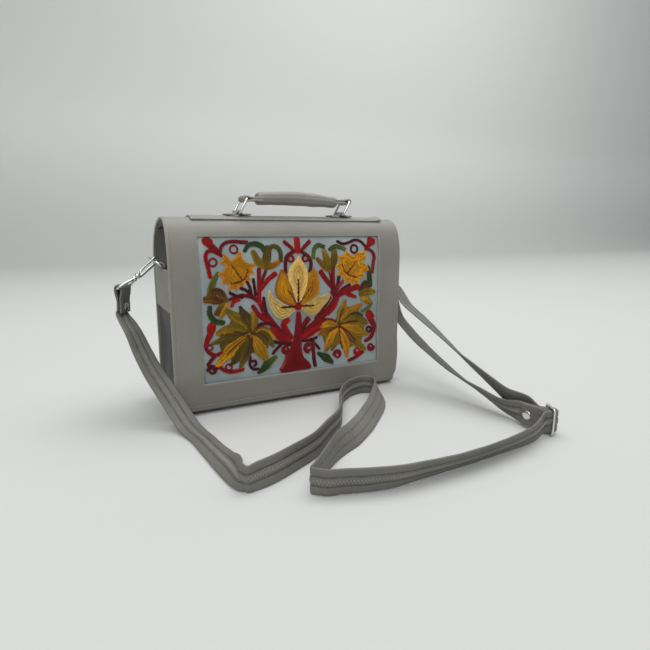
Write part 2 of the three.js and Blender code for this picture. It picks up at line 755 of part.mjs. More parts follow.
// An upright crease: the strap turns round a small arc about an upright axis.
function crease(side, reach, fromHeading, toHeading) {
  const bend = strapThickness;
  const at = new THREE.Vector3(side * bagWidth / 2, -reach * strapReach, halfStrap);
  const steps = 3;
  const stations = [];
  for (let i = 0; i <= steps; i += 1) {
    const heading = fromHeading + (toHeading - fromHeading) * i / steps;
    const spoke = aim(heading - 90, 0);
    stations.push({ centre: at.clone().addScaledVector(spoke, bend), across: up.clone() });
  }
  return stations;
}

// The stations of a wrap: from one spoke of a circle to another, about a bar.
function wrap(centre, radius, first, second, fromAngle, toAngle, steps, across) {
  return Array.from({ length: steps + 1 }, (_, i) => {
    const angle = fromAngle + (toAngle - fromAngle) * i / steps;
    const place = centre.clone()
      .addScaledVector(first, radius * Math.cos(angle))
      .addScaledVector(second, radius * Math.sin(angle));
    return { centre: place, across: across.clone() };
  });
}

// At the left hook the end of the strap is folded over the eye's bar and riveted down. The
// two layers close up below the bar.
function leftEnd() {
  const { middle, bar } = eyeFrame(hangs.left);
  const facing = new THREE.Vector3().crossVectors(bar, up).normalize();
  const across = bar.clone();
  const hang = new THREE.Vector3().crossVectors(facing, bar).normalize();
  if (hang.z > 0) hang.negate();
  const place = (ahead, below) => ({
    centre: middle.clone().addScaledVector(facing, ahead).addScaledVector(hang, below),
    across,
  });
  const close = halfThickness + clearance / 2;
  const end = [
    place(close, foldedEnd),
    place(close, 0.72 * foldedEnd),
    place(1.05 * close, 0.45 * foldedEnd),
    place(0.9 * eyeWrap, 0.18 * foldedEnd),
  ];
  const over = wrap(middle, eyeWrap, facing, hang.clone().negate(), 0, Math.PI, 5, across);
  const main = [
    place(-0.9 * eyeWrap, 0.18 * foldedEnd),
    place(-1.05 * close, 0.45 * foldedEnd),
    place(-close, 0.72 * foldedEnd),
    place(-close, foldedEnd),
  ];
  return { stations: [...end, ...over, ...main], rivet: place(0, 0.78 * foldedEnd).centre, facing };
}

// At the adjuster the strap turns round the middle bar, outside the second band, whose own
// end is folded round the same bar and riveted to it.
const sliderBend = 9;
const bendAngle = THREE.MathUtils.degToRad(50);
const bandAim = slider.out.clone().multiplyScalar(Math.cos(bendAngle))
  .addScaledVector(slider.run, Math.sin(bendAngle));

const rivetedGap = strapThickness + clearance;
const tipOffset = innerWrap - rivetedGap;

// One layer on its way from the middle bar: it bends away while its offset from the bar
// changes, then runs straight for the length of the folded end.
function sliderLayer(fromOffset, toOffset, straights) {
  const steps = 3;
  const centre = slider.centre.clone()
    .addScaledVector(slider.run, innerWrap + sliderBend)
    .addScaledVector(slider.out, sliderWire)
    .setZ(sliderMid);
  const bend = Array.from({ length: steps + 1 }, (_, i) => {
    const angle = bendAngle * i / steps;
    const radius = sliderBend + innerWrap - fromOffset - (toOffset - fromOffset) * i / steps;
    const place = centre.clone()
      .addScaledVector(slider.run, -radius * Math.cos(angle))
      .addScaledVector(slider.out, radius * Math.sin(angle));
    return { centre: place, across: up };
  });
  const end = bend[steps].centre;
  const onward = straights.map((share) => ({
    centre: end.clone().addScaledVector(bandAim, share * foldedEnd),
    across: up,
  }));
  return [...bend, ...onward];
}

function sliderTurn(radius, isForward) {
  const centre = slider.centre.clone().setZ(sliderMid);
  const right = slider.out.clone().negate();
  const from = isForward ? Math.PI : 0;
  return wrap(centre, radius, slider.run, right, from, Math.PI - from, 6, up);
}

function adjusterApproach() {
  const through = slider.out.clone().negate();
  const slot = slider.centre.clone().addScaledVector(slider.run, -outerWrap).setZ(sliderMid);
  const start = slot.clone().addScaledVector(through, -sliderWire);
  const centre = start.clone().addScaledVector(slider.run, -sliderBend);
  const turn = THREE.MathUtils.degToRad(42);
  return wrap(centre, sliderBend, slider.run, slider.out, turn, 0, 3, up);
}

function strapStations() {
  const left = leftEnd();
  const right = eyeFrame(hangs.right);
  const back = new THREE.Vector3().crossVectors(right.bar, up).normalize().negate();
  const acrossRight = right.bar.clone().negate();
  const ahead = back.clone().negate();
  const overRight = wrap(right.middle, eyeWrap, ahead, up, 0.15 * Math.PI, Math.PI, 5, acrossRight);
  const tip = sliderLayer(-innerWrap, tipOffset, [0.15, 0.35, 0.6]);
  const rivetAt = tip[tip.length - 2].centre;
  const stations = [
    ...left.stations,
    ...leftRun.map(station),
    ...crease(-0.845, 0.812, -84, 8),
    ...loopRun.map(station),
    ...crease(-0.528, 0.908, -142, -18),
    ...frontRun.map(station),
    ...adjusterApproach(),
    ...sliderTurn(outerWrap, true),
    ...sliderLayer(outerWrap, outerWrap, []),
    ...upperRun.map(station),
    ...overRight,
    ...lowerRun.map(station),
    ...sliderLayer(innerWrap, innerWrap, [0.15, 0.35, 0.55, 0.75]).reverse(),
    ...sliderTurn(innerWrap, false),
    ...tip,
  ];
  return { stations, left, rivetAt };
}

// The strap's section: flat faces, with thinner folded edges.
const strapSection = [
  { across: 1, through: 0.4 },
  { across: 0.84, through: 1 },
  { across: -0.84, through: 1 },
  { across: -1, through: 0.4 },
  { across: -1, through: -0.4 },
  { across: -0.84, through: -1 },
  { across: 0.84, through: -1 },
  { across: 1, through: -0.4 },
];

function strapSolid(stations) {
  const centres = stations.map((s) => s.centre);
  const curve = new THREE.CatmullRomCurve3(centres, false, 'centripetal');
  const last = stations.length - 1;
  const longest = 12;
  const sections = [];
  for (let i = 0; i < last; i += 1) {
    const span = centres[i].distanceTo(centres[i + 1]);
    const steps = Math.max(1, Math.round(span / longest));
    const until = i === last - 1 ? steps : steps - 1;
    for (let k = 0; k <= until; k += 1) {
      const t = (i + k / steps) / last;
      const along = curve.getTangent(t);
      const width = stations[i].across.clone().lerp(stations[i + 1].across, k / steps);
      width.addScaledVector(along, -width.dot(along)).normalize();
      const through = new THREE.Vector3().crossVectors(along, width);
      const centre = curve.getPoint(t);
      const section = strapSection.map((p) => centre.clone()
        .addScaledVector(width, p.across * halfStrap)
        .addScaledVector(through, p.through * halfThickness));
      const sunk = Math.min(0, ...section.map((p) => p.z));
      sections.push(section.map((p) => p.setZ(p.z - sunk)));
    }
  }
  return sweep(sections);
}

// A rivet with a low round head on each face of the two layers that it holds.
function rivetParts(centre, facing) {
  const grip = strapThickness + clearance / 2 + clearance;
  const head = grip + rivetHeadHeight;
  const r = rivetHead / 2;
  const turn = new THREE.Quaternion().setFromUnitVectors(new THREE.Vector3(0, 1, 0), facing);
  const spin = (profile) => new THREE.LatheGeometry(profile.map(([x, y]) => new THREE.Vector2(x, y)), 14)
    .applyQuaternion(turn)
    .translate(centre.x, centre.y, centre.z);
  const shank = rivetShank / 2;
  const rivet = spin([
    [0, -head],
    [0.7 * r, -head + 0.25 * rivetHeadHeight],
    [r, -grip],
    [shank, -grip],
    [shank, grip],
    [r, grip],
    [0.7 * r, head - 0.25 * rivetHeadHeight],
    [0, head],
  ]);
  const bore = shank + clearance;
  const hole = spin([[0, -head], [bore, -head], [bore, head], [0, head]]);
  return { rivet, hole };
}

// The handle is carried by a strip along the crown.
const stripTop = bagHeight + clearance + topStripWall;

function makeTopStrip() {
  const low = crownY - topStripWidth / 2;
  const high = crownY + topStripWidth / 2;
  const outer = stretchOf(archLine(-clearance - topStripWall), 'x', low, high);
  const inner = stretchOf(archLine(-clearance), 'x', low, high);
  const half = topStripLength / 2;
  return extrudeAlong('x', bandShape(outer, inner), handleCentre - half, handleCentre + half);
}

const lowerBar = stripTop + clearance + handleRingWire / 2 + clearance;
const lean = THREE.MathUtils.degToRad(ringLean);
const upperShift = handleRingHeight * Math.sin(lean);
const upperBar = lowerBar + handleRingHeight * Math.cos(lean);

// A leather loop over the ring's lower bar, with a flat wing to each side.
function makeRingLoop(centre) {
  const bore = handleRingWire / 2 + clearance;
  const outer = bore + loopWall;
  const base = stripTop + clearance;
  const shape = new THREE.Shape();
  shape.moveTo(centre - loopLength / 2, base);
  shape.lineTo(centre - bore, base);
  shape.lineTo(centre - bore, lowerBar);
  shape.absarc(centre, lowerBar, bore, Math.PI, 0, true);
  shape.lineTo(centre + bore, base);
  shape.lineTo(centre + loopLength / 2, base);
  shape.lineTo(centre + loopLength / 2, base + loopWall);
  const meet = Math.asin((base + loopWall - lowerBar) / outer);
  shape.lineTo(centre + outer * Math.cos(meet), base + loopWall);
  shape.absarc(centre, lowerBar, outer, meet, Math.PI - meet, false);
  shape.lineTo(centre - loopLength / 2, base + loopWall);
  const middle = -crownY;
  return extrudeAlong('y', shape, middle - loopWidth / 2, middle + loopWidth / 2, 7);
}

function makeHandleRing(centre) {
  const half = handleRingWidth / 2 - handleRingWire / 2;
  const corner = 3;
  const steps = 3;
  const points = [];
  const corners = [
    { y: half - corner, z: handleRingHeight - corner, turn: 0 },
    { y: corner - half, z: handleRingHeight - corner, turn: 0.5 * Math.PI },
    { y: corner - half, z: corner, turn: Math.PI },
    { y: half - corner, z: corner, turn: 1.5 * Math.PI },
  ];
  corners.forEach((c) => {
    for (let i = 0; i <= steps; i += 1) {
      const angle = c.turn + 0.5 * Math.PI * i / steps;
      const rise = c.z + corner * Math.sin(angle);
      points.push(new THREE.Vector3(
        centre + rise * Math.sin(lean),
        crownY + c.y + corner * Math.cos(angle),
        lowerBar + rise * Math.cos(lean),
      ));
    }
  });
  return wire(points, handleRingWire / 2, 8, true);
}

// The grip's shape along its length: height and width as shares of its thickness and
// width, and its rise above the rings' upper bars as a share of its thickness.
const gripRows = [
  { along: 0, tall: 0.62, wide: 0.88, rise: 0.03 },
  { along: 0.04, tall: 0.78, wide: 0.95, rise: 0.06 },
  { along: 0.15, tall: 0.88, wide: 0.98, rise: 0.09 },
  { along: 0.32, tall: 0.96, wide: 1, rise: 0.12 },
  { along: 0.5, tall: 1, wide: 1, rise: 0.12 },
  { along: 0.68, tall: 0.95, wide: 1, rise: 0.07 },
  { along: 0.85, tall: 0.86, wide: 0.98, rise: 0 },
  { along: 0.96, tall: 0.76, wide: 0.95, rise: -0.05 },
  { along: 1, tall: 0.6, wide: 0.88, rise: -0.06 },
];

function makeGrip() {
  const middle = handleCentre + upperShift;
  const start = middle - gripLength / 2;
  const sides = 12;
  const sections = gripRows.map((row) => Array.from({ length: sides }, (_, j) => {
    const angle = 2 * Math.PI * j / sides;
    const round = (value) => Math.sign(value) * Math.abs(value) ** 0.8;
    return new THREE.Vector3(
      start + row.along * gripLength,
      crownY + row.wide * gripWidth / 2 * round(Math.cos(angle)),
      upperBar + row.rise * gripThickness + row.tall * gripThickness / 2 * round(Math.sin(angle)),
    );
  }));
  const bore = handleRingWire / 2 + clearance;
  const outer = bore + handleTabWall;
  const tabs = [-1, 1].map((side) => {
    const bar = middle + side * handleSpan / 2;
    const inside = middle + side * (gripLength / 2 - 3);
    const shape = new THREE.Shape();
    const turn = side > 0 ? Math.PI / 2 : -Math.PI / 2;
    shape.moveTo(inside, upperBar + side * outer);
    shape.lineTo(bar, upperBar + side * outer);
    shape.absarc(bar, upperBar, outer, turn, turn - Math.PI, true);
    shape.lineTo(inside, upperBar - side * outer);
    const eye = new THREE.Path();
    eye.absarc(bar, upperBar, bore, 0, 2 * Math.PI, false);
    shape.holes.push(eye);
    const centre = -crownY;
    return extrudeAlong('y', shape, centre - handleTabWidth / 2, centre + handleTabWidth / 2, 7);
  });
  return join(sweep(sections), ...tabs);
}

addPiece('flap_and_back', makeFlapAndBack(), paint.leather);
addPiece('embroidered_panel', makePanel(), paint.cloth);
addPiece('front_and_base', makeFrontAndBase(), paint.leather);

Object.entries(hangs).forEach(([name, hang]) => {
  addPiece(`gusset_${name}`, makeGusset(hang.side), paint.gusset);
  addPiece(`gusset_tab_${name}`, makeGussetTab(hang.side), paint.leather);
  addPiece(`d_ring_${name}`, makeDRing(hang), paint.metal);
  addPiece(`snap_hook_${name}`, makeHookBody(hang), paint.metal);
  addPiece(`hook_gate_${name}`, makeGate(hang), paint.metal);
  addPiece(`hook_eye_${name}`, makeEye(hang), paint.metal);
});

const strap = strapStations();
const hookRivet = rivetParts(strap.left.rivet, strap.left.facing);
const bandFacing = new THREE.Vector3().crossVectors(bandAim, up).normalize();
const bandMiddle = strap.rivetAt.clone().addScaledVector(bandFacing, rivetedGap / 2);
const bandRivet = rivetParts(bandMiddle, bandFacing);

addPiece('shoulder_strap', cut(strapSolid(strap.stations), hookRivet.hole, bandRivet.hole), paint.strap);
addPiece('strap_rivet_hook', hookRivet.rivet, paint.metal);
addPiece('strap_rivet_adjuster', bandRivet.rivet, paint.metal);
addPiece('strap_adjuster', makeSlider(), paint.metal);

addPiece('top_strip', makeTopStrip(), paint.leather);
[['left', -1], ['right', 1]].forEach(([name, side]) => {
  const centre = handleCentre + side * handleSpan / 2;
  addPiece(`ring_loop_${name}`, makeRingLoop(centre), paint.leather);
  addPiece(`handle_ring_${name}`, makeHandleRing(centre), paint.metal);
});
addPiece('handle_grip', makeGrip(), paint.leather);

export default group;
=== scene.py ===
# %% [markdown]
# # An embroidered leather satchel
# The bag stands on a pale floor with its long strap lying in front of it. A leather flap
# frames a panel of pale satin that is covered in wool chain stitch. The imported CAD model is
# the fixed frame: every piece below takes its size and place from it, and soft pieces
# replace their plain solids.

# %% Load the frame and set up a few helpers
import math

import bpy
import numpy as np
from mathutils import Matrix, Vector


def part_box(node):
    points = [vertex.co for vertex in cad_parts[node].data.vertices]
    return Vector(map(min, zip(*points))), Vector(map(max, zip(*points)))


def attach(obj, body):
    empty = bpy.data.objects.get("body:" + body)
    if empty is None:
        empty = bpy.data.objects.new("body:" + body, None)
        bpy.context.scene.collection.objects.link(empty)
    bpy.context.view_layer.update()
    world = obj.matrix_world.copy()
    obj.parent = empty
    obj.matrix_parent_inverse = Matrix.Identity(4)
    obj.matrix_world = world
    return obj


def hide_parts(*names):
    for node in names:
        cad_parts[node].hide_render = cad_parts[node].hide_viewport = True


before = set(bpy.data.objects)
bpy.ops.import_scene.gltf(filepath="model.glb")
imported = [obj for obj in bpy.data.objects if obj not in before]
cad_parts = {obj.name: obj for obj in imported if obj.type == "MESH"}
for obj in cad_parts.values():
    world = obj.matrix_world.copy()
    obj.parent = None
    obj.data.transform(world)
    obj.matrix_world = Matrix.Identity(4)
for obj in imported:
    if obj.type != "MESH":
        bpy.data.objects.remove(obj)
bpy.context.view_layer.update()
mm = 0.001
rng = np.random.default_rng(7)


def low(node):
    """The lowest corner of a CAD node as an array."""
    return np.array(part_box(node)[0])


def high(node):
    """The highest corner of a CAD node as an array."""
    return np.array(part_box(node)[1])


# %% [markdown]
# The camera comes first. The photograph was taken close to the bag with a wide lens, from
# the left of the flap and a little above it. Its place was worked out from the corners of
# the flap and the window.

# %% The camera
eye_point = np.array([-208.9, -506.2, 183.9]) * mm
look_yaw, look_pitch, look_roll = np.radians([27.506, 11.223, 0.264])
forward = np.array([
    math.sin(look_yaw) * math.cos(look_pitch),
    math.cos(look_yaw) * math.cos(look_pitch),
    -math.sin(look_pitch),
])
level = np.array([math.cos(look_yaw), -math.sin(look_yaw), 0.0])
upright = np.cross(level, forward)
right = math.cos(look_roll) * level + math.sin(look_roll) * upright
above = math.cos(look_roll) * upright - math.sin(look_roll) * level
camera_data = bpy.data.cameras.new("photo_camera")
camera_data.lens = 27.03
camera_data.sensor_width = 36
camera_data.clip_start = 0.01
camera = bpy.data.objects.new("photo_camera", camera_data)
bpy.context.collection.objects.link(camera)
turn = np.eye(4)
turn[:3, 0], turn[:3, 1], turn[:3, 2], turn[:3, 3] = right, above, -forward, eye_point
camera.matrix_world = Matrix(turn.tolist())
bpy.context.scene.camera = camera
print("camera at", np.round(eye_point, 3))

# %% [markdown]
# ## Mesh helpers
# A surface here is a grid of points, worked out as one numpy array from two parameters. The
# helpers turn such a grid into a mesh, carry a profile along a path, or copy a small shape
# many times, all without a loop over vertices.


# %% From arrays to meshes
def srgb(red, green, blue):
    """A colour read as 0 to 255 on a screen, as the linear values that a shader takes."""
    value = np.array([red, green, blue]) / 255
    linear = np.where(value <= 0.04045, value / 12.92, ((value + 0.055) / 1.055) ** 2.4)
    return (*linear.tolist(), 1.0)


def quads(rows, columns, ring_rows=False, ring_columns=False):
    """The four corners of each cell of a grid, with the last row or column joined to the
    first where that direction is a ring."""
    i = np.arange(rows if ring_rows else rows - 1)[:, None]
    j = np.arange(columns if ring_columns else columns - 1)[None, :]
    down, across = (i + 1) % rows, (j + 1) % columns
    cells = [i * columns + j, i * columns + across, down * columns + across, down * columns + j]
    return np.stack(np.broadcast_arrays(*cells), -1).reshape(-1, 4)


def closed_tube(rows, columns):
    """The faces of a row of rings, with one face over each end."""
    last = (rows - 1) * columns
    ends = [list(range(columns))[::-1], [last + k for k in range(columns)]]
    return quads(rows, columns, False, True).tolist() + ends


def add_mesh(name, points, faces, body="bag", slot="leather"):
    """A new object from an array of points and a list of faces, riding on a CAD body."""
    mesh = bpy.data.meshes.new(name)
    mesh.from_pydata(np.asarray(points).reshape(-1, 3).tolist(), [], faces)
    mesh.validate()
    mesh.polygons.foreach_set("use_smooth", [True] * len(mesh.polygons))
    piece = bpy.data.objects.new(name, mesh)
    bpy.context.collection.objects.link(piece)
    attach(piece, body)
    return piece


def put_attribute(piece, name, values):
    """One number for each vertex, for a material to read."""
    layer = piece.data.attributes.new(name, "FLOAT", "POINT")
    layer.data.foreach_set("value", np.asarray(values, np.float32).ravel())


def unit(vectors):
    """Each vector divided by its length."""
    return vectors / np.maximum(np.linalg.norm(vectors, axis=-1, keepdims=True), 1e-12)


def lengths(points):
    """The distance along a line of points, starting at 0."""
    steps = np.linalg.norm(np.diff(points, axis=0), axis=1)
    return np.concatenate([[0.0], np.cumsum(steps)])


def read_at(places, along, values):
    """Each column of an array, read off at new places along a line."""
    return np.stack([np.interp(places, along, column) for column in values.T], 1)


def resample(points, spacing, least=2):
    """The same line with points at an even spacing."""
    along = lengths(points)
    count = max(least, int(round(along[-1] / spacing)) + 1)
    return read_at(np.linspace(0, along[-1], count), along, points)


def through(points, count, ring=False):
    """A smooth curve through points: between two neighbours it is the cubic whose ends
    match the directions set by the knots before and after (centripetal Catmull-Rom).
    Returns count samples for each gap, and the last point of an open curve."""
    p = np.asarray(points, float)
    if ring:
        ring_points = np.concatenate([p[-1:], p, p[:2]])
        p0, p1, p2, p3 = (ring_points[k:len(p) + k] for k in range(4))
    else:
        ends = np.concatenate([2 * p[:1] - p[1:2], p, 2 * p[-1:] - p[-2:-1]])
        p0, p1, p2, p3 = (ends[k:len(p) - 1 + k] for k in range(4))
    d0, d1, d2 = (np.maximum(np.linalg.norm(b - a, axis=1), 1e-9) ** 0.5
                  for a, b in ((p0, p1), (p1, p2), (p2, p3)))
    d0, d1, d2 = d0[:, None], d1[:, None], d2[:, None]
    t1 = ((p1 - p0) / d0 - (p2 - p0) / (d0 + d1) + (p2 - p1) / d1) * d1
    t2 = ((p2 - p1) / d1 - (p3 - p1) / (d1 + d2) + (p3 - p2) / d2) * d1
    t = np.linspace(0, 1, count, endpoint=False)[None, :, None]
    terms = p1, t1, -3 * p1 + 3 * p2 - 2 * t1 - t2, 2 * p1 - 2 * p2 + t1 + t2
    a, b, c, d = (term[:, None, :] for term in terms)
    curve = (a + b * t + c * t ** 2 + d * t ** 3).reshape(-1, p.shape[1])
    return curve if ring else np.concatenate([curve, p[-1:]])


def carried_frames(points, start, ring=False):
    """Two directions square to a path at each of its points, carried along so that they
    never spin: each step only removes the part that lies along the path."""
    before = np.roll(points, 1, 0) if ring else np.concatenate([points[:1], points[:-1]])
    after = np.roll(points, -1, 0) if ring else np.concatenate([points[1:], points[-1:]])
    tangent = unit(after - before)
    side = np.empty_like(tangent)
    current = np.array(start, float)
    for k, along in enumerate(tangent):
        current = unit(current - along * (current @ along))
        side[k] = current
    return side, np.cross(tangent, side)


def tube(points, radius, sides=12, ring=False, start=(0, 0, 1)):
    """A round wire: a circle carried along a path. Open ends are closed by a dome."""
    points = np.asarray(points, float)
    radii = np.broadcast_to(np.asarray(radius, float), (len(points),)).copy()
    if not ring:
        bend = np.radians([80, 55, 25])
        for end, inner in ((0, 1), (-1, -2)):
            out = unit(points[end] - points[inner])
            caps = points[end] + out * radii[end] * np.sin(bend)[:, None]
            rim = radii[end] * np.cos(bend)
            if end == 0:
                points, radii = np.concatenate([caps, points]), np.concatenate([rim, radii])
            else:
                points, radii = np.concatenate([points, caps[::-1]]), np.concatenate([radii, rim[::-1]])
    side, other = carried_frames(points, start, ring)
    angle = np.linspace(0, 2 * math.pi, sides, endpoint=False)
    circle = np.cos(angle)[None, :, None] * side[:, None] + np.sin(angle)[None, :, None] * other[:, None]
    faces = quads(len(points), sides, True, True).tolist() if ring else closed_tube(len(points), sides)
    return points[:, None] + radii[:, None, None] * circle, faces


def add_tube(name, points, radius, sides, body="bag", **settings):
    """A tube of metal as an object."""
    return add_mesh(name, *tube(points, radius, sides, **settings), body, "metal")


def add_turned(name, base, axis, profile, sides=28, body="bag"):
    """A profile of (radius, height) pairs turned round an axis through a point."""
    axis = unit(np.asarray(axis, float))
    spare = np.array([0, 0, 1.0]) if abs(axis[2]) < 0.9 else np.array([1.0, 0, 0])
    side = unit(np.cross(axis, spare))
    other = np.cross(axis, side)
    angle = np.linspace(0, 2 * math.pi, sides, endpoint=False)
    spoke = np.cos(angle)[:, None] * side + np.sin(angle)[:, None] * other
    radius, height = np.array(profile, float).T
    grid = np.asarray(base) + radius[:, None, None] * spoke[None] + height[:, None, None] * axis
    return add_mesh(name, grid, closed_tube(len(radius), sides), body, "metal")


def merge(name, parts):
    """Several grids with their faces as one metal object."""
    points, faces, start = [], [], 0
    for grid, cells in parts:
        flat = np.asarray(grid).reshape(-1, 3)
        points.append(flat)
        faces += [[start + k for k in cell] for cell in cells]
        start += len(flat)
    return add_mesh(name, np.concatenate(points), faces, slot="metal")


def modify(piece, kind, **settings):
    """A modifier with its settings."""
    modifier = piece.modifiers.new(kind.title(), kind)
    for key, value in settings.items():
        setattr(modifier, key, value)


def thicken(piece, thickness, rim=0):
    """Thickness behind the surface and, where a rim is given, a small bevel round it."""
    modify(piece, "SOLIDIFY", thickness=thickness, offset=-1.0)
    if rim:
        modify(piece, "BEVEL", width=rim * mm, segments=2, limit_method="ANGLE", angle_limit=math.radians(60))


def copies(shape, faces, places, along, outward, scale):
    """A small shape copied to many places in one array operation. Its x axis follows
    along, its z axis points outward, and scale is a size for each copy."""
    along = unit(along)
    outward = unit(outward - along * np.sum(along * outward, 1, keepdims=True))
    across = np.cross(outward, along)
    turns = np.stack([along, across, outward], 1)
    points = places[:, None] + np.einsum("vk,nkc->nvc", shape, turns) * scale[:, None, None]
    shift = np.arange(len(places))[:, None, None] * len(shape)
    return points, (np.array(faces)[None] + shift).reshape(-1, len(faces[0])).tolist()


print("helpers are ready")

# %% [markdown]
# ## Shader groups
# Leather, cloth and metal share a few effects, so each is a node group that is built once:
# a pebbled grain, soft cloudy colour with a second colour at worn places, and the fine ribs
# of woven or spun thread. Each material places them with its own values.


# %% Small node tools
def new_group(name, inputs, outputs):
    """A shader node group with named sockets of a kind, what comes in and what goes out."""
    group = bpy.data.node_groups.new(name, "ShaderNodeTree")
    for label, kind, value in inputs:
        socket = group.interface.new_socket(label, in_out="INPUT", socket_type=f"NodeSocket{kind}")
        socket.default_value = value
    for label, kind in outputs:
        group.interface.new_socket(label, in_out="OUTPUT", socket_type=f"NodeSocket{kind}")
    return group, group.nodes.new("NodeGroupInput").outputs, group.nodes.new("NodeGroupOutput").inputs


def node(tree, kind, links=(), **settings):
    """One node with its settings, and its inputs linked or filled by name or number."""
    made = tree.nodes.new("ShaderNode" + kind)
    for key, value in settings.items():
        setattr(made, key, value)
    for key, value in links:
        if isinstance(value, bpy.types.NodeSocket):
            tree.links.new(value, made.inputs[key])
        else:
            made.inputs[key].default_value = value
    return made


# %% The grain of leather
grain, taken, given = new_group(
    "Leather grain",
    [("Vector", "Vector", (0, 0, 0)), ("Cells per metre", "Float", 900.0),
     ("Crease", "Float", 0.5)],
    [("Height", "Float"), ("Hollows", "Float")],
)
warp = node(grain, "TexNoise", [("Vector", taken[0]), ("Scale", 420.0), ("Detail", 2.0)])
shifted = node(grain, "VectorMath", [(0, warp.outputs["Color"]), (1, (0.0009,) * 3)], operation="MULTIPLY")
moved = node(grain, "VectorMath", [(0, taken[0]), (1, shifted.outputs[0])], operation="ADD")
cells = node(grain, "TexVoronoi", [("Vector", moved.outputs[0]), ("Scale", taken[1])],
             feature="DISTANCE_TO_EDGE")
furrow = node(grain, "MapRange", [(0, cells.outputs["Distance"]), (1, 0.0), (2, 0.22), (3, 0.0), (4, 1.0)])
folds = node(grain, "TexNoise", [("Vector", taken[0]), ("Scale", 95.0), ("Detail", 4.0), ("Roughness", 0.6)])
fold_part = node(grain, "Math", [(0, folds.outputs["Fac"]), (1, taken[2])], operation="MULTIPLY")
summed = node(grain, "Math", [(0, furrow.outputs[0]), (1, fold_part.outputs[0])], operation="ADD")
grain.links.new(summed.outputs[0], given[0])
grain.links.new(furrow.outputs[0], given[1])

# %% Cloudy colour, with a second colour where the edge mask is on
clouds, taken, given = new_group(
    "Clouds and second colour",
    [("Vector", "Vector", (0, 0, 0)), ("Colour", "Color", (0.5, 0.5, 0.5, 1)),
     ("Second colour", "Color", (0.7, 0.7, 0.7, 1)), ("Edge", "Float", 0.0),
     ("Hollows", "Float", 1.0), ("Amount", "Float", 0.12)],
    [("Colour", "Color"), ("Patches", "Float")],
)
broad = node(clouds, "TexNoise", [("Vector", taken[0]), ("Scale", 14.0), ("Detail", 5.0)])
spread = node(clouds, "MapRange", [(0, broad.outputs["Fac"]), (1, 0.3), (2, 0.7), (3, -1.0), (4, 1.0)])
swing = node(clouds, "Math", [(0, spread.outputs[0]), (1, taken[5])], operation="MULTIPLY")
dip = node(clouds, "MapRange", [(0, taken[4]), (1, 0.0), (2, 1.0), (3, 0.88), (4, 1.0)])
level_up = node(clouds, "Math", [(0, swing.outputs[0]), (1, dip.outputs[0])], operation="ADD")
toned = node(clouds, "VectorMath", [(0, taken[1]), ("Scale", level_up.outputs[0])], operation="SCALE")
fine = node(clouds, "TexNoise", [("Vector", taken[0]), ("Scale", 260.0), ("Detail", 3.0)])
broken = node(clouds, "MapRange", [(0, fine.outputs["Fac"]), (1, 0.35), (2, 0.6), (3, 0.35), (4, 1.0)])
mask = node(clouds, "Math", [(0, taken[3]), (1, broken.outputs[0])], operation="MULTIPLY")
mixed = node(clouds, "Mix", [(0, mask.outputs[0]), (6, toned.outputs[0]), (7, taken[2])], data_type="RGBA")
clouds.links.new(mixed.outputs[2], given[0])
clouds.links.new(broad.outputs["Fac"], given[1])

# %% The ribs of thread and cloth
ribs, taken, given = new_group(
    "Ribs",
    [("Vector", "Vector", (0, 0, 0)), ("Ribs per metre", "Float", 2500.0),
     ("Cross share", "Float", 0.5)],
    [("Height", "Float")],
)
lines, rows = (
    node(ribs, "TexWave", [("Vector", taken[0]), ("Scale", taken[1]), ("Distortion", 0.6)],
         wave_type="BANDS", bands_direction=direction)
    for direction in "XZ")
blend = node(ribs, "Mix", [(0, taken[2]), (2, lines.outputs["Fac"]), (3, rows.outputs["Fac"])])
ribs.links.new(blend.outputs[0], given[0])
print("groups:", [g.name for g in bpy.data.node_groups])


# %% [markdown]
# ## Materials
# The leather is a finely pebbled, coated hide in a warm grey. The side walls are a thinner
# and duller cut of it, their colour darkened to about half as painted shade for the bag's
# shaded sides, and the strap is rubbed smoother. All three are one recipe, with the grain in
# the bump and a lighter second colour at the cut edges, which is a painted edge highlight.
# On the strap the same mask and a darker second colour mark the two furrows: painted shade.


# %% Materials
def new_material(name, values):
    """A node material, its tree, its Principled BSDF with these values, and the object's own
    coordinates."""
    material = bpy.data.materials.new(name)
    material.use_nodes = True
    tree = material.node_tree
    shader = tree.nodes["Principled BSDF"]
    for socket, value in values.items():
        shader.inputs[socket].default_value = value
    return material, tree, shader, node(tree, "TexCoord").outputs["Object"]


def surface(tree, shader, colour, strength, distance, height):
    """Links a colour to the shader, and a height as its bump."""
    tree.links.new(colour, shader.inputs["Base Color"])
    relief = node(tree, "Bump", [("Strength", strength), ("Distance", distance), ("Height", height)])
    tree.links.new(relief.outputs[0], shader.inputs["Normal"])


def leather_material(name, colour, second_colour, cells, crease, roughness, bump, amount=0.1):
    """Coated leather: grain in the bump, clouds in the colour, and the second colour where the
    piece's edge attribute is high. That colour is a lighter painted edge highlight on the bag's
    leather and a darker painted shade in the strap's furrows."""
    material, tree, shader, place = new_material(name, {"Coat Weight": 0.08, "Coat Roughness": 0.4})
    pebble = node(tree, "Group", [("Vector", place), ("Cells per metre", cells), ("Crease", crease)],
                  node_tree=grain)
    edge = node(tree, "Attribute", attribute_name="edge")
    cloud = node(tree, "Group", [("Vector", place), ("Colour", colour), ("Second colour", second_colour),
                                 ("Edge", edge.outputs["Fac"]), ("Hollows", pebble.outputs["Hollows"]),
                                 ("Amount", amount)], node_tree=clouds)
    gloss = node(tree, "MapRange", [(0, cloud.outputs["Patches"]), (1, 0.3), (2, 0.7),
                                    (3, roughness - 0.06), (4, roughness + 0.06)])
    tree.links.new(gloss.outputs[0], shader.inputs["Roughness"])
    surface(tree, shader, cloud.outputs["Colour"], bump, 0.00025, pebble.outputs["Height"])
    return material


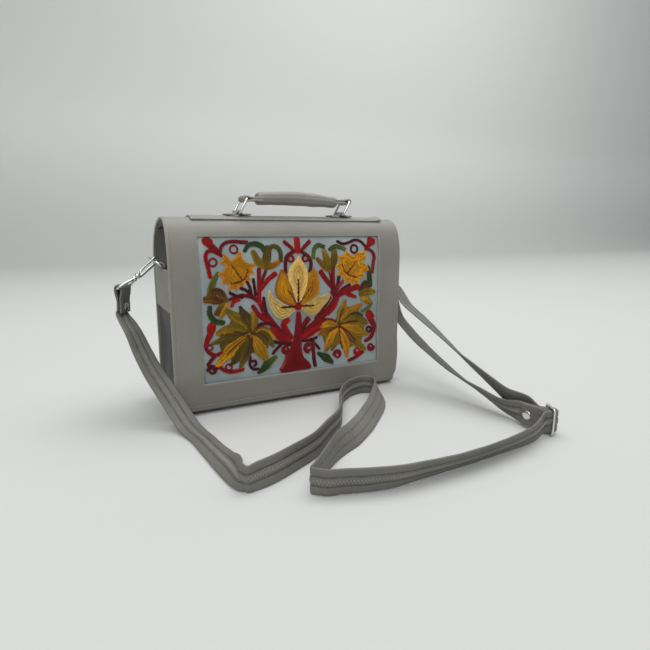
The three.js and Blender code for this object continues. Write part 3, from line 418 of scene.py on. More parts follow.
def plain_thread(name, colour):
    """Sewing thread of one colour with its twist in the bump."""
    material, tree, shader, place = new_material(name, {"Roughness": 0.55})
    twist = node(tree, "Group", [("Vector", place)], node_tree=ribs)
    cloud = node(tree, "Group", [("Vector", place), ("Colour", colour), ("Second colour", colour)], node_tree=clouds)
    surface(tree, shader, cloud.outputs["Colour"], 0.4, 0.0001, twist.outputs[0])
    return material


# The lighter second colour of the bag's leather is a painted edge highlight along its cut edges.
hide = leather_material("Grey pebbled leather", srgb(131, 128, 120), srgb(150, 147, 139), 1100.0, 0.5, 0.5, 0.35)
# The side leather's colour, about half the flap's, is painted shade for the bag's shaded sides; its lighter second
# colour is a painted edge highlight.
side_hide_with_painted_shade = leather_material("Side leather with painted shade", srgb(66, 65, 61), srgb(88, 86, 81), 1300.0, 0.9, 0.6, 0.4, 0.14)
# The strap's darker second colour is painted shade in its two furrows.
strap_hide = leather_material("Strap leather", srgb(110, 108, 102), srgb(70, 69, 65), 1400.0, 0.8, 0.52, 0.5, 0.14)
grey_thread = plain_thread("Grey sewing thread", srgb(150, 148, 141))
pale_thread = plain_thread("Pale sewing thread", srgb(152, 150, 143))

# %% Wool, satin and metal
wool, tree, shader, place = new_material("Embroidery wool", {
    "Roughness": 0.7, "Sheen Weight": 0.08, "Sheen Roughness": 0.5, "Specular IOR Level": 0.25})
colour = node(tree, "Attribute", attribute_name="thread_colour")
twist = node(tree, "Group", [("Vector", place), ("Ribs per metre", 1400.0)], node_tree=ribs)
shade = node(tree, "MapRange", [(0, twist.outputs[0]), (1, 0.0), (2, 1.0), (3, 0.82), (4, 1.08)])
tinted = node(tree, "VectorMath", [(0, colour.outputs["Color"]), ("Scale", shade.outputs[0])], operation="SCALE")
surface(tree, shader, tinted.outputs[0], 0.5, 0.0002, twist.outputs[0])

satin, tree, shader, place = new_material("Pale blue grey satin", {
    "Roughness": 0.42, "Sheen Weight": 0.4, "Sheen Roughness": 0.4})
weave = node(tree, "Group", [("Vector", place), ("Ribs per metre", 900.0)], node_tree=ribs)
cloud = node(tree, "Group", [("Vector", place), ("Colour", srgb(146, 157, 157)),
                             ("Second colour", srgb(176, 186, 186)), ("Amount", 0.3)], node_tree=clouds)
surface(tree, shader, cloud.outputs["Colour"], 0.35, 0.0002, weave.outputs[0])

nickel, tree, shader, place = new_material("Polished nickel", {"Metallic": 1.0})
smudge = node(tree, "TexNoise", [("Vector", place), ("Scale", 130.0), ("Detail", 5.0)])
film = node(tree, "MapRange", [(0, smudge.outputs["Fac"]), (1, 0.35), (2, 0.7), (3, 0.12), (4, 0.32)])
tree.links.new(film.outputs[0], shader.inputs["Roughness"])
tint = node(tree, "MapRange", [(0, smudge.outputs["Fac"]), (1, 0.3), (2, 0.7), (3, 0.62), (4, 0.74)])
warm = node(tree, "CombineColor", [(0, tint.outputs[0]), (1, tint.outputs[0]), (2, tint.outputs[0])])
scratch = node(tree, "TexNoise", [("Vector", place), ("Scale", 900.0), ("Detail", 2.0)])
surface(tree, shader, warm.outputs[0], 0.05, 0.0001, scratch.outputs["Fac"])


def dress(piece, material):
    """Gives a piece its one material."""
    piece.data.materials.clear()
    piece.data.materials.append(material)
    return piece


print("materials:", len(bpy.data.materials))

# %% [markdown]
# ## The leather shell
# The back, the crown and the flap are one long sheet of leather, bent over the bag's top.
# Seen from the side it is a line with two soft bends, so the sheet is that line drawn
# across the bag's width. A Solidify modifier gives it its thickness, and faces that would
# lie in the window are left out of the grid.

# %% The arch's line
shell_low, shell_high = low("flap_and_back"), high("flap_and_back")
half_width = shell_high[0]
back_face, front_face = shell_high[1], shell_low[1]
bag_height = shell_high[2]
bag_depth = back_face - front_face
crown_y = -0.19 * bag_depth
leather, clearance = 2 * mm, 0.3 * mm
flap_hem, back_hem = 5 * mm, 4 * mm


def bezier(a, b, c, d, count):
    """The cubic from a to d that b and c pull on: each point is a weighted mean of the four."""
    t = np.linspace(0, 1, count)[:, None]
    a, b, c, d = (np.array(p, float) for p in (a, b, c, d))
    return (1 - t) ** 3 * a + 3 * (1 - t) ** 2 * t * b + 3 * (1 - t) * t ** 2 * c + t ** 3 * d


def arch(offset):
    """Depth and height along the sheet, from the back hem over the crown to the flap's hem,
    moved inwards by offset, square to the line."""
    shoulder, pull = 0.765 * bag_height, 0.915 * bag_height
    line = np.concatenate([
        np.linspace((back_face, back_hem), (back_face, shoulder), 60),
        bezier((back_face, shoulder), (back_face, pull), (0.12 * bag_depth, bag_height),
               (crown_y, bag_height), 60)[1:],
        bezier((crown_y, bag_height), (-0.39 * bag_depth, bag_height), (front_face, pull),
               (front_face, shoulder), 60)[1:],
        np.linspace((front_face, shoulder), (front_face, flap_hem), 60)[1:],
    ])
    along = unit(np.gradient(line, axis=0))
    return line + offset * np.stack([-along[:, 1], along[:, 0]], 1)


def front_depth(height, offset):
    """The sheet's depth at a height, on the flap's side."""
    line = arch(offset)
    front = line[len(line) // 2:][::-1]
    return np.interp(height, front[:, 1], front[:, 0])


def back_depth(height, offset):
    """The sheet's depth at a height, on the back."""
    line = arch(offset)
    back = line[:len(line) // 2 + 1]
    return np.interp(height, back[:, 1], back[:, 0])


def cut_line(line, axis, start, end):
    """The stretch of a line between two values of one of its coordinates."""
    return line[(line[:, axis] >= min(start, end)) & (line[:, axis] <= max(start, end))]


# %% Sheets bent along a line
def bent_sheet(name, line, axis, start, end, thickness, material, outward="right", spacing=2.0,
               slot="leather", relief=None, rim=0.35, replaces=()):
    """A sheet that follows a line in one plane and runs straight along the third axis. The
    line is its outer face; a Solidify modifier adds the thickness on the other side."""
    path = resample(line, spacing * mm)
    along = lengths(path)
    place = np.linspace(start, end, max(4, int(abs(end - start) / (spacing * mm)) + 1))
    tangent = unit(np.gradient(path, axis=0))
    sign = 1 if outward == "right" else -1
    normal = sign * np.stack([tangent[:, 1], -tangent[:, 0]], 1)
    s, t = np.meshgrid(along, place, indexing="ij")
    inside = np.minimum(np.minimum(s, along[-1] - s), np.minimum(t - min(start, end), max(start, end) - t))
    roll = -0.35 * mm * np.exp(-(inside / (0.8 * mm)) ** 2)
    lift = roll + (relief(s, t, along[-1]) if relief else 0)
    flat = path[:, None, :] + lift[:, :, None] * normal[:, None, :]
    if axis == "x":
        points = np.stack([t, flat[:, :, 0], flat[:, :, 1]], -1)
    else:
        points = np.stack([flat[:, :, 0], t, flat[:, :, 1]], -1)
    faces = quads(len(path), len(place))
    if (axis == "x") == (outward == "right"):
        faces = faces[:, ::-1]
    piece = add_mesh(name, points, faces.tolist(), slot=slot)
    # This mask puts the lighter second colour, a painted edge highlight, along the sheet's cut edges.
    put_attribute(piece, "edge", np.exp(-(inside / (1.1 * mm)) ** 2))
    thicken(piece, thickness, rim)
    dress(piece, material)
    if replaces:
        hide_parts(*replaces)
    return piece


def ripple(s, t, size):
    """Slow unevenness: three crossed waves of unlike length, so that no pattern shows."""
    return size * (np.sin(s * 61 + 1.3) * np.sin(t * 47 + 0.4) + 0.6 * np.sin(s * 113 - t * 89)
                   + 0.3 * np.sin(s * 211 + t * 173 + 2))


# %% The flap, the crown and the back
panel_margin = 7 * mm
window_half = high("embroidered_panel")[0] - panel_margin
window_low = low("embroidered_panel")[2] + panel_margin
window_high = high("embroidered_panel")[2] - panel_margin
sheet_line = arch(0)
sheet_length = lengths(sheet_line)
front_start = len(sheet_line) // 2
window_top_s = np.interp(-window_high, -sheet_line[front_start:, 1], sheet_length[front_start:])
window_low_s = np.interp(-window_low, -sheet_line[front_start:, 1], sheet_length[front_start:])
end_s = sheet_length[-1]
corner_radius = 14 * mm
stitch_inset = 5 * mm
hem_bend, bend_reach = 1.7 * mm, 26 * mm
belly, belly_height, belly_spread = 1.5 * mm, 34 * mm, 15 * mm
hem_rows = end_s - corner_radius * (1 - np.sin(np.linspace(0, math.pi / 2, 10)))
row_s = np.unique(np.concatenate([
    np.linspace(0, window_top_s, 90), np.linspace(window_top_s, window_low_s, 60),
    np.linspace(window_low_s, end_s - corner_radius, 8), hem_rows,
]).round(7))
side_x = np.concatenate([[0, 0.6, 1.3, 2.2, 3.4], np.linspace(4.6, (half_width - window_half) / mm, 14)]) * mm
column_x = np.unique(np.concatenate([
    -half_width + side_x, np.linspace(-window_half, window_half, 90), half_width - side_x,
]).round(7))


def flap_shape():
    """The grid of the sheet: line times width, with the hem's corners drawn in on a quarter
    circle, a sewn groove inside the edges and a soft fall at each cut edge. The hem is bent
    back a little towards the pouch, and the flap swells out above it."""
    line = read_at(row_s, sheet_length, sheet_line)
    tangent = unit(np.gradient(line, row_s, axis=0))
    normal = np.stack([tangent[:, 1], -tangent[:, 0]], 1)
    s, x = np.meshgrid(row_s, column_x, indexing="ij")
    rise = np.clip(corner_radius - (end_s - s), 0, corner_radius)
    drawn_in = corner_radius - np.sqrt(corner_radius ** 2 - rise ** 2)
    outer = np.clip((np.abs(x) - window_half) / (half_width - window_half), 0, 1)
    x_place = np.sign(x) * (np.abs(x) - outer * drawn_in)
    to_side = half_width - drawn_in - np.abs(x_place)
    inside = np.minimum(to_side, end_s - s)
    to_window = np.hypot(np.maximum(np.abs(x) - window_half, 0),
                         np.maximum(np.maximum(window_top_s - s, s - window_low_s), 0))
    groove = -0.3 * mm * np.exp(-((inside - stitch_inset) / (0.9 * mm)) ** 2)
    swell = 0.35 * mm * np.exp(-((inside - 2.6 * mm) / (1.6 * mm)) ** 2) * (end_s - s > 2 * stitch_inset)
    fall = -0.5 * mm * (np.exp(-(inside / (0.9 * mm)) ** 2) + np.exp(-(to_window / (0.8 * mm)) ** 2))
    lift = groove + swell + fall + ripple(s, x, 0.12 * mm)
    lift = lift - hem_bend * np.clip(1 - (end_s - s) / bend_reach, 0, 1) ** 1.8
    lift = lift + belly * np.exp(-((end_s - s - belly_height) / belly_spread) ** 2)
    flat = line[:, None, :] + lift[:, :, None] * normal[:, None, :]
    # This mask puts the lighter second colour, a painted edge highlight, along the flap's edges and round the window.
    edge = np.maximum(np.exp(-(np.minimum(inside, s) / (1.0 * mm)) ** 2), np.exp(-(to_window / (1.0 * mm)) ** 2))
    return np.stack([x_place, flat[:, :, 0], flat[:, :, 1]], -1), s, x, edge


points, s_grid, x_grid, edge = flap_shape()
faces = quads(*s_grid.shape)[:, ::-1]
middle_s, middle_x = s_grid.ravel()[faces].mean(1), x_grid.ravel()[faces].mean(1)
in_window = (np.abs(middle_x) < window_half) & (middle_s > window_top_s) & (middle_s < window_low_s)
flap = add_mesh("leather_flap_and_back", points, faces[~in_window].tolist())
put_attribute(flap, "edge", edge)
thicken(flap, leather, 0.4)
dress(flap, hide)
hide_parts("flap_and_back")
print("flap:", len(flap.data.polygons), "faces, window", round(2 * window_half, 4), "m wide")

# %% [markdown]
# The pouch behind the flap is a second sheet: the front wall, the base and a short lip
# inside the back. Only its lower edge shows under the flap, but the bag is seen from below
# and from the side as well.

# %% The front wall and the base
pouch_low, pouch_high = low("front_and_base"), high("front_and_base")
front_stack = pouch_low[1] - front_face
base_bend = 8 * mm
quarter = np.linspace(0, math.pi / 2, 12)
wall_line = cut_line(arch(front_stack)[len(sheet_line) // 2:], 1, 2 * base_bend, pouch_high[2])
front_bend = np.stack([pouch_low[1] + base_bend - base_bend * np.cos(quarter),
                       base_bend - base_bend * np.sin(quarter)], 1)
back_bend = np.stack([pouch_high[1] - base_bend + base_bend * np.sin(quarter),
                      base_bend - base_bend * np.cos(quarter)], 1)
lip_end = np.array([[pouch_high[1], 2 * base_bend]])
pouch_line = np.concatenate([wall_line, front_bend, back_bend, lip_end])
bent_sheet("pouch_front_and_base", pouch_line, "x", pouch_low[0], pouch_high[0], leather, hide, spacing=3.0,
           relief=lambda s, t, end: np.minimum(ripple(s, t, 0.08 * mm), 0), replaces=("front_and_base",))

# %% [markdown]
# Each side wall folds inwards like bellows. Its depth from front to back is what the shell
# leaves free. The fold grows towards the top and again low down, and a leather yoke holds
# the wall flat in between, which is what makes the photograph's dark hollow under the arch.

# %% The side walls
gusset_inset, fold_depth, gusset_wall = 3 * mm, 13 * mm, 1.6 * mm
fold_table = np.array([
    # height, fold and crease, as shares
    [0.00, 0.00, 0.00], [0.08, 0.03, 0.04], [0.10, 0.05, 0.06], [0.22, 0.32, 0.16], [0.38, 0.42, 0.20],
    [0.52, 0.12, 0.03], [0.60, 0.00, 0.00], [0.78, 0.00, 0.00], [0.84, 0.35, 0.10], [0.91, 0.80, 0.22],
    [1.00, 1.00, 0.25],
])


def side_wall(name, side):
    """Depth across a wall is the shell's room at that height; the fold goes inwards as a
    squared sine of the place across it, and two small creases lie beside the fold."""
    wall_low, wall_high = low(name)[2], high(name)[2]
    share = np.linspace(0, 1, 90)
    fold = np.maximum(np.interp(share, fold_table[:, 0], fold_table[:, 1]), 0)
    crease = np.interp(share, fold_table[:, 0], fold_table[:, 2])
    blur = np.exp(-(np.arange(-4, 5) / 2.2) ** 2)
    fold, crease = (np.convolve(np.pad(v, 4, "edge"), blur / blur.sum(), "valid") for v in (fold, crease))
    height = wall_low + share * (wall_high - wall_low)
    reach = base_bend - leather
    below = np.clip(reach + leather + clearance - height, 0, reach)
    bend = reach - np.sqrt(reach ** 2 - below ** 2)
    lip = np.where(height < 2 * base_bend + leather, leather + clearance, 0)
    front = front_depth(height, front_stack + leather + clearance) + bend
    back = back_depth(height, leather + clearance) - bend - lip
    across = np.linspace(0, 1, 46)
    h, a = np.meshgrid(share, across, indexing="ij")
    deep = fold[:, None] * np.sin(math.pi * a) ** 2 + crease[:, None] * np.sin(3 * math.pi * a) ** 2
    soft = 0.6 * mm * np.sin(math.pi * a) * np.sin(h * 37 + 3 * a) * np.sin(h * 11 + 5 * a)
    x = side * (half_width - gusset_inset - fold_depth * deep - np.abs(soft))
    points = np.stack([x, front[:, None] + a * (back - front)[:, None],
                       np.broadcast_to(height[:, None], a.shape)], -1)
    faces = quads(*a.shape)
    faces = faces[:, ::-1] if side < 0 else faces
    piece = add_mesh(f"folded_{name}", points, faces.tolist(), slot="gusset")
    # This mask puts the lighter second colour, a painted edge highlight, along the wall's rims.
    rim = np.minimum(np.minimum(a, 1 - a) * (back - front)[:, None], (1 - h) * (wall_high - wall_low))
    put_attribute(piece, "edge", np.exp(-(rim / (1.0 * mm)) ** 2))
    thicken(piece, gusset_wall)
    # The wall's dark leather colour is painted shade, which deepens the hollow under the arch.
    dress(piece, side_hide_with_painted_shade)
    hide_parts(name)
    return piece


for side, name in ((-1, "gusset_left"), (1, "gusset_right")):
    wall = side_wall(name, side)
    print(wall.name, len(wall.data.polygons), "faces")

# %% [markdown]
# ## Yokes, rings and hooks
# A leather yoke lies across each side wall. Its top is rolled into a small loop that holds
# a D-ring, and a snap hook hangs from the ring. The metal is made of round wire: a circle
# carried along the same lines that the CAD model uses, only with more points.

# %% The leather yokes
ring_height = 147 * mm
tab_wall = 1.8 * mm
yoke_face = half_width - gusset_inset + clearance
d_ring_wire = 2.5 * mm
loop_bore = d_ring_wire / 2 + clearance
d_ring_bar = yoke_face + tab_wall / 2 + loop_bore
tab_loop_width = 20 * mm
yoke_names = ((-1, "left"), (1, "right"))
for side, name in yoke_names:
    tab_low, tab_high = low(f"gusset_tab_{name}"), high(f"gusset_tab_{name}")
    plate_top = ring_height - loop_bore - tab_wall / 2
    outer_x = side * (yoke_face + tab_wall)
    plate = np.array([[outer_x, tab_low[2]], [outer_x, plate_top]])
    yoke = bent_sheet(f"yoke_{name}", plate, "y", tab_low[1], tab_high[1], tab_wall, hide,
                      outward="right" if side > 0 else "left",
                      relief=lambda s, t, end: -0.3 * mm * np.exp(-((s - 5 * mm) / (0.9 * mm)) ** 2),
                      replaces=(f"gusset_tab_{name}",))
    angle = np.radians(np.linspace(-112, 228, 40))
    outer = loop_bore + tab_wall
    circle = np.stack([side * (d_ring_bar + outer * np.cos(angle)), ring_height + outer * np.sin(angle)], 1)
    loop = bent_sheet(f"yoke_loop_{name}", circle, "y", -tab_loop_width / 2, tab_loop_width / 2, tab_wall, hide,
                      outward="right" if side > 0 else "left", spacing=0.7, rim=0.3)
    print(yoke.name, loop.name)

# %% Directions of the hooks
d_ring_width, d_ring_reach = 26 * mm, 12.5 * mm
hook_length, hook_width, hook_wire = 27 * mm, 9.6 * mm, 2.8 * mm
gate_thickness, swivel_radius, post_radius = 1.9 * mm, 2.6 * mm, 1.0 * mm
eye_length, eye_wire = 14.5 * mm, 2.4 * mm
strap_width, strap_thickness = 20.5 * mm, 2.4 * mm
strap_reach, folded_end = 245 * mm, 23 * mm
hangs = {
    "left": dict(side=-1, rise=38, seat=-48, heading=-158, drop=36, eye_heading=152, eye_drop=36, bar=58),
    "right": dict(side=1, rise=12, seat=-15, heading=-50, drop=76, eye_heading=-30, eye_drop=78, bar=35),
}


def aim(heading, drop):
    """The unit vector of a compass heading and a drop below level, in degrees."""
    h, d = math.radians(heading), math.radians(drop)
    return np.array([math.cos(h) * math.cos(d), math.sin(h) * math.cos(d), -math.sin(d)])


def ring_point(hang, angle):
    """A point of the D-ring's bow: half an ellipse in a plane tipped up by the rise."""
    rise, out = math.radians(hang["rise"]), d_ring_reach * np.cos(angle)
    return np.stack([hang["side"] * (d_ring_bar + out * math.cos(rise)), d_ring_width / 2 * np.sin(angle),
                     ring_height + out * math.sin(rise)], -1)


def hook_frame(hang):
    """The hook's centre, its up direction v, n along the ring's wire and u across."""
    seat = math.radians(hang["seat"])
    v = -aim(hang["heading"], hang["drop"])
    n = ring_point(hang, seat + 0.01) - ring_point(hang, seat - 0.01)
    n = unit(n - v * (n @ v))
    return ring_point(hang, seat) - v * hook_length, np.cross(v, n), v, n


collar_low = swivel_radius + clearance
collar_high = collar_low + 3.4 * mm
bore_top = collar_high - 0.8 * mm
crook_side = (hook_width - hook_wire) / 2
crook_top = hook_length + d_ring_wire / 2 + clearance + hook_wire / 2
crook_turn = crook_top - crook_side
nose_end = crook_turn - 0.5 * crook_side
gate_pivot = np.array([crook_side - 0.25 * mm,
                       collar_high + hook_wire / 2 + gate_thickness / 2 + 1.2 * clearance])
eye_half = strap_width / 2 + 2 * clearance + eye_wire / 2

# %% D-rings, hooks, gates and eyes
for name, hang in hangs.items():
    bow = ring_point(hang, math.pi * (np.arange(1, 14) / 14 - 0.5))
    bar = np.array([[hang["side"] * d_ring_bar, share * d_ring_width, ring_height]
                    for share in (0.44, 0.2, -0.2, -0.44)])
    ring = add_tube(f"d_ring_wire_{name}", through(np.concatenate([bow, bar]), 5, ring=True),
                    d_ring_wire / 2, 16, ring=True)
    dress(ring, nickel)
    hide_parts(f"d_ring_{name}")

    centre, u, v, n = hook_frame(hang)
    axes = np.stack([u, v, n])
    bend = math.pi * (1 - np.arange(10) / 9)
    flat = np.concatenate([
        [[0.75 * crook_side, collar_high], [0, collar_high - 0.2 * mm], [-0.8 * crook_side, collar_high + 0.3 * mm],
         [-crook_side, collar_high + crook_side], [-crook_side, (collar_high + crook_turn) / 2]],
        np.stack([crook_side * np.cos(bend), crook_turn + crook_side * np.sin(bend)], 1),
        [[crook_side, nose_end]],
    ])
    crook = centre + np.pad(flat, ((0, 0), (0, 1))) @ axes
    hook = add_tube(f"hook_crook_{name}", through(crook, 5), hook_wire / 2 * 0.97, 16)
    dress(hook, nickel)
    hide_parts(f"snap_hook_{name}")
    r = swivel_radius
    collar = add_turned(f"hook_collar_{name}", centre, v, [
        (post_radius + clearance, collar_low + 0.8 * mm), (post_radius + clearance, collar_low),
        (0.9 * r, collar_low), (1.06 * r, collar_low + 0.3 * mm), (1.1 * r, collar_low + 0.9 * mm),
        (1.1 * r, collar_high - 0.5 * mm), (1.0 * r, collar_high), (0.4 * r, collar_high + 0.45 * mm),
        (0.02 * r, collar_high + 0.5 * mm)])
    dress(collar, nickel)

    pivot, tip = gate_pivot, np.array([crook_side, nose_end - 1.2 * clearance - 0.45 * mm])
    share = np.linspace(0, 1, 14)[:, None]
    gate_line = centre + np.pad(pivot + (tip - pivot) * share, ((0, 0), (0, 1))) @ axes
    gate_wire = add_tube(f"gate_spring_{name}", gate_line, gate_thickness / 2 * 0.96, 14, body=f"gate_{name}")
    dress(gate_wire, nickel)
    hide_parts(f"hook_gate_{name}")
    pin_at = centre + np.append(pivot, 0) @ axes
    pin = add_turned(f"gate_pin_{name}", pin_at, n, [
        (0.05 * mm, -1.5 * mm), (0.6 * mm, -1.45 * mm), (0.75 * mm, -1.2 * mm), (0.75 * mm, 1.2 * mm),
        (0.6 * mm, 1.45 * mm), (0.05 * mm, 1.5 * mm)], sides=16, body=f"gate_{name}")
    dress(pin, nickel)

    down = aim(hang["eye_heading"], hang["eye_drop"])
    across = aim(hang["bar"], 0)
    across = unit(across - down * (across @ down))
    hang.update(middle=centre + down * eye_length, across=across)
    corner = 2 * eye_wire
    half_eye = np.array([[0.35 * eye_half, 0.12 * eye_length], [eye_half - 0.3 * mm, eye_length - corner],
                         [eye_half, eye_length - 0.35 * corner], [eye_half - 0.4 * corner, eye_length]])
    outline = np.concatenate([[[0, 0]], half_eye, [[0, eye_length]], half_eye[::-1] * [-1, 1]])
    eye_line = centre + outline[:, :1] * across + outline[:, 1:] * down
    eye = add_tube(f"eye_wire_{name}", through(eye_line, 7, ring=True), eye_wire / 2, 14, ring=True)
    dress(eye, nickel)
    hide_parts(f"hook_eye_{name}")
    theta = np.linspace(-0.499, 0.38, 14) * math.pi
    post_top = bore_top - clearance
    post = [(post_radius, 0.93 * r), (post_radius, post_top), (0.05 * mm, post_top)]
    ball = add_turned(f"swivel_ball_{name}", centre, v, [*zip(r * np.cos(theta), r * np.sin(theta)), *post])
    dress(ball, nickel)
    print(name, "hook:", [o.name for o in (ring, hook, collar, gate_wire, eye, ball)])

# %% [markdown]
# ## The shoulder strap
# The strap is a strip of leather with both edges folded under and a zigzag seam down its
# middle. Its route is a list of stations: a centre, and where the width of the strap
# points. A smooth curve runs through the stations and the strap's section is carried along
# it, so the same route gives the bends, the loop, the upright creases and the two layers at
# the hook and at the adjuster.

# %% The route's tables
half_strap, half_thickness = strap_width / 2, strap_thickness / 2
left_run = [
    # side, reach, height, heading, tilt
    (-1.245, 0.118, 0.6, 42, 0), (-1.198, 0.14, 0.475, 32, 0), (-1.14, 0.17, 0.345, 23, 0),
    (-1.075, 0.205, 0.23, 15, 0), (-1.012, 0.25, 0.12, 9, 0), (-0.96, 0.31, 0.035, 4, 0),
    (-0.917, 0.39, 0, 2, 0), (-0.893, 0.51, 0, 0, 4), (-0.88, 0.61, 0, 0, 15), (-0.878, 0.685, 0, 0, 36),
    (-0.882, 0.758, 0, 0, 60), (-0.88, 0.797, 0, 0, 79),
]
loop_run = [
    (-0.78, 0.812, 0, 100, 80), (-0.67, 0.793, 0, 105, 78), (-0.525, 0.757, 0, 110, 78),
    (-0.33, 0.702, 0, 115, 80), (-0.16, 0.622, 0, 125, 84), (0.0, 0.545, 0, 130, 88), (0.115, 0.455, 0, 140, 89),
    (0.21, 0.36, 0, 140, 89), (0.33, 0.283, 0, 140, 90), (0.46, 0.236, 0, 120, 90), (0.58, 0.226, 0, 100, 90),
    (0.645, 0.258, 0, 190, 80), (0.622, 0.315, 0, 172, 62), (0.55, 0.375, 0, 152, 43), (0.45, 0.438, 0, 140, 33),
    (0.325, 0.503, 0, 133, 29), (0.18, 0.58, 0, 129, 36), (0.06, 0.635, 0, 126, 43), (-0.03, 0.675, 0, 122, 51),
    (-0.145, 0.716, 0, 120, 66), (-0.25, 0.76, 0, 120, 80), (-0.365, 0.815, 0, 120, 88), (-0.47, 0.868, 0, 120, 90),
    (-0.53, 0.897, 0, 120, 90),
]
front_run = [
    (-0.49, 0.941, 0, -90, 87), (-0.4, 0.957, 0, -90, 84), (-0.265, 0.983, 0, -90, 81), (-0.085, 1.003, 0, -90, 73),
    (0.1, 1.005, 0, -90, 65), (0.3, 1.006, 0, -90, 60), (0.5, 1.003, 0, -90, 60), (0.7, 0.995, 0, -90, 62),
    (0.87, 0.986, 0, -90, 67), (1.0, 0.975, 0, -90, 74), (1.1, 0.962, 0.075, -90, 84),
]
upper_run = [
    (1.308, 0.825, 0.12, 180, 80), (1.262, 0.75, 0.15, 180, 68), (1.245, 0.675, 0.203, 180, 58),
    (1.228, 0.593, 0.265, 180, 50), (1.21, 0.508, 0.33, 182, 41), (1.193, 0.424, 0.405, 185, 32),
    (1.173, 0.313, 0.5, 190, 20), (1.157, 0.23, 0.568, 195, 12), (1.14, 0.142, 0.64, 203, 6),
]
lower_run = [
    (1.126, 0.052, 0.65, 213, 1), (1.128, 0.085, 0.53, 207, 3), (1.142, 0.16, 0.435, 200, 6),
    (1.158, 0.243, 0.355, 195, 10), (1.173, 0.321, 0.292, 190, 17), (1.187, 0.394, 0.24, 185, 22),
    (1.202, 0.47, 0.19, 182, 27), (1.218, 0.558, 0.148, 180, 35), (1.233, 0.641, 0.113, 180, 46),
    (1.246, 0.718, 0.08, 180, 56), (1.25, 0.765, 0.075, 180, 66),
]


def stations(rows):
    """Each row as a centre and the direction of the strap's width: side is a share of half
    the bag's width, reach a share of how far the strap lies ahead, height a share of the
    D-rings' height. A row never sinks into the floor."""
    made = []
    for side, reach, height, heading, tilt in rows:
        t = math.radians(tilt)
        rest = half_strap * abs(math.sin(t)) + half_thickness * abs(math.cos(t))
        centre = (side * half_width, -reach * strap_reach, max(height * ring_height, rest))
        made.append((np.array(centre), aim(heading, -tilt)))
    return made


def crease(side, reach, from_heading, to_heading):
    """An upright crease: a small arc about an upright axis, with the strap on edge."""
    at = np.array([side * half_width, -reach * strap_reach, half_strap])
    return [(at + aim(heading - 90, 0) * strap_thickness, np.array([0, 0, 1.0]))
            for heading in np.linspace(from_heading, to_heading, 4)]


def wrap(centre, radius, first, second, start, end, steps, across):
    """An arc round a bar, from one spoke angle to another."""
    return [(centre + radius * (first * math.cos(a) + second * math.sin(a)), across)
            for a in np.linspace(start, end, steps + 1)]


# %% The ends at the hooks
world_up = np.array([0, 0, 1.0])
eye_wrap = eye_wire / 2 + 2 * clearance + half_thickness
bar_left, middle_left = hangs["left"]["across"], hangs["left"]["middle"]
facing = unit(np.cross(bar_left, world_up))
hang_down = unit(np.cross(facing, bar_left))
hang_down = -hang_down if hang_down[2] > 0 else hang_down
layer_gap = half_thickness + clearance / 2


def at_hook(ahead, below):
    """A station beside the left eye's bar."""
    return middle_left + ahead * facing + below * folded_end * hang_down, bar_left


left_end = [at_hook(layer_gap, 1), at_hook(layer_gap, 0.72), at_hook(1.05 * layer_gap, 0.45),
            at_hook(0.9 * eye_wrap, 0.18)]
left_end += wrap(middle_left, eye_wrap, facing, -hang_down, 0, math.pi, 5, bar_left)
left_end += [at_hook(-0.9 * eye_wrap, 0.18), at_hook(-1.05 * layer_gap, 0.45), at_hook(-layer_gap, 0.72),
             at_hook(-layer_gap, 1)]
bar_right, middle_right = hangs["right"]["across"], hangs["right"]["middle"]
ahead = unit(np.cross(bar_right, world_up))
over_right = wrap(middle_right, eye_wrap, ahead, world_up, 0.15 * math.pi, math.pi, 5, -bar_right)

# %% The turns at the adjuster
slider_wire, slider_spread, middle_bar = 2.2 * mm, 8.4 * mm, 1.6 * mm
slider_run, slider_out = unit(np.array([0.5, 0.866, 0])), unit(np.array([-0.866, 0.5, 0]))
slider_at = np.array([1.296 * half_width, -0.9286 * strap_reach, 0])
slider_tall = high("strap_adjuster")[2]
slider_mid = slider_at + world_up * slider_tall / 2
inner_wrap = math.hypot(slider_wire / 2, middle_bar / 2) + clearance + half_thickness
outer_wrap = inner_wrap + strap_thickness + clearance
slider_bend, bend_angle = 9 * mm, math.radians(50)
band_aim = slider_out * math.cos(bend_angle) + slider_run * math.sin(bend_angle)
riveted_gap = strap_thickness + clearance
tip_offset = inner_wrap - riveted_gap


def slider_layer(from_offset, to_offset, straights):
    """One layer between the middle bar and the band: a bend, then a straight stretch."""
    centre = slider_mid + slider_run * (inner_wrap + slider_bend) + slider_out * slider_wire
    made = []
    for share in np.linspace(0, 1, 4):
        radius = slider_bend + inner_wrap - from_offset - (to_offset - from_offset) * share
        a = bend_angle * share
        made.append((centre - slider_run * radius * math.cos(a) + slider_out * radius * math.sin(a), world_up))
    end = made[-1][0]
    return made + [(end + band_aim * share * folded_end, world_up) for share in straights]


def slider_turn(radius, is_forward):
    """A half turn round the middle bar."""
    start = math.pi if is_forward else 0
    return wrap(slider_mid, radius, slider_run, -slider_out, start, math.pi - start, 6, world_up)


approach_centre = slider_mid - slider_run * (outer_wrap + slider_bend) + slider_out * slider_wire
approach = wrap(approach_centre, slider_bend, slider_run, slider_out, math.radians(42), 0, 3, world_up)
tip = slider_layer(-inner_wrap, tip_offset, [0.15, 0.35, 0.6])
route = (left_end + stations(left_run) + crease(-0.845, 0.812, -84, 8) + stations(loop_run)
         + crease(-0.528, 0.908, -142, -18) + stations(front_run) + approach + slider_turn(outer_wrap, True)
         + slider_layer(outer_wrap, outer_wrap, []) + stations(upper_run) + over_right + stations(lower_run)
         + slider_layer(inner_wrap, inner_wrap, [0.15, 0.35, 0.55, 0.75])[::-1]
         + slider_turn(inner_wrap, False) + tip)
print("route:", len(route), "stations")


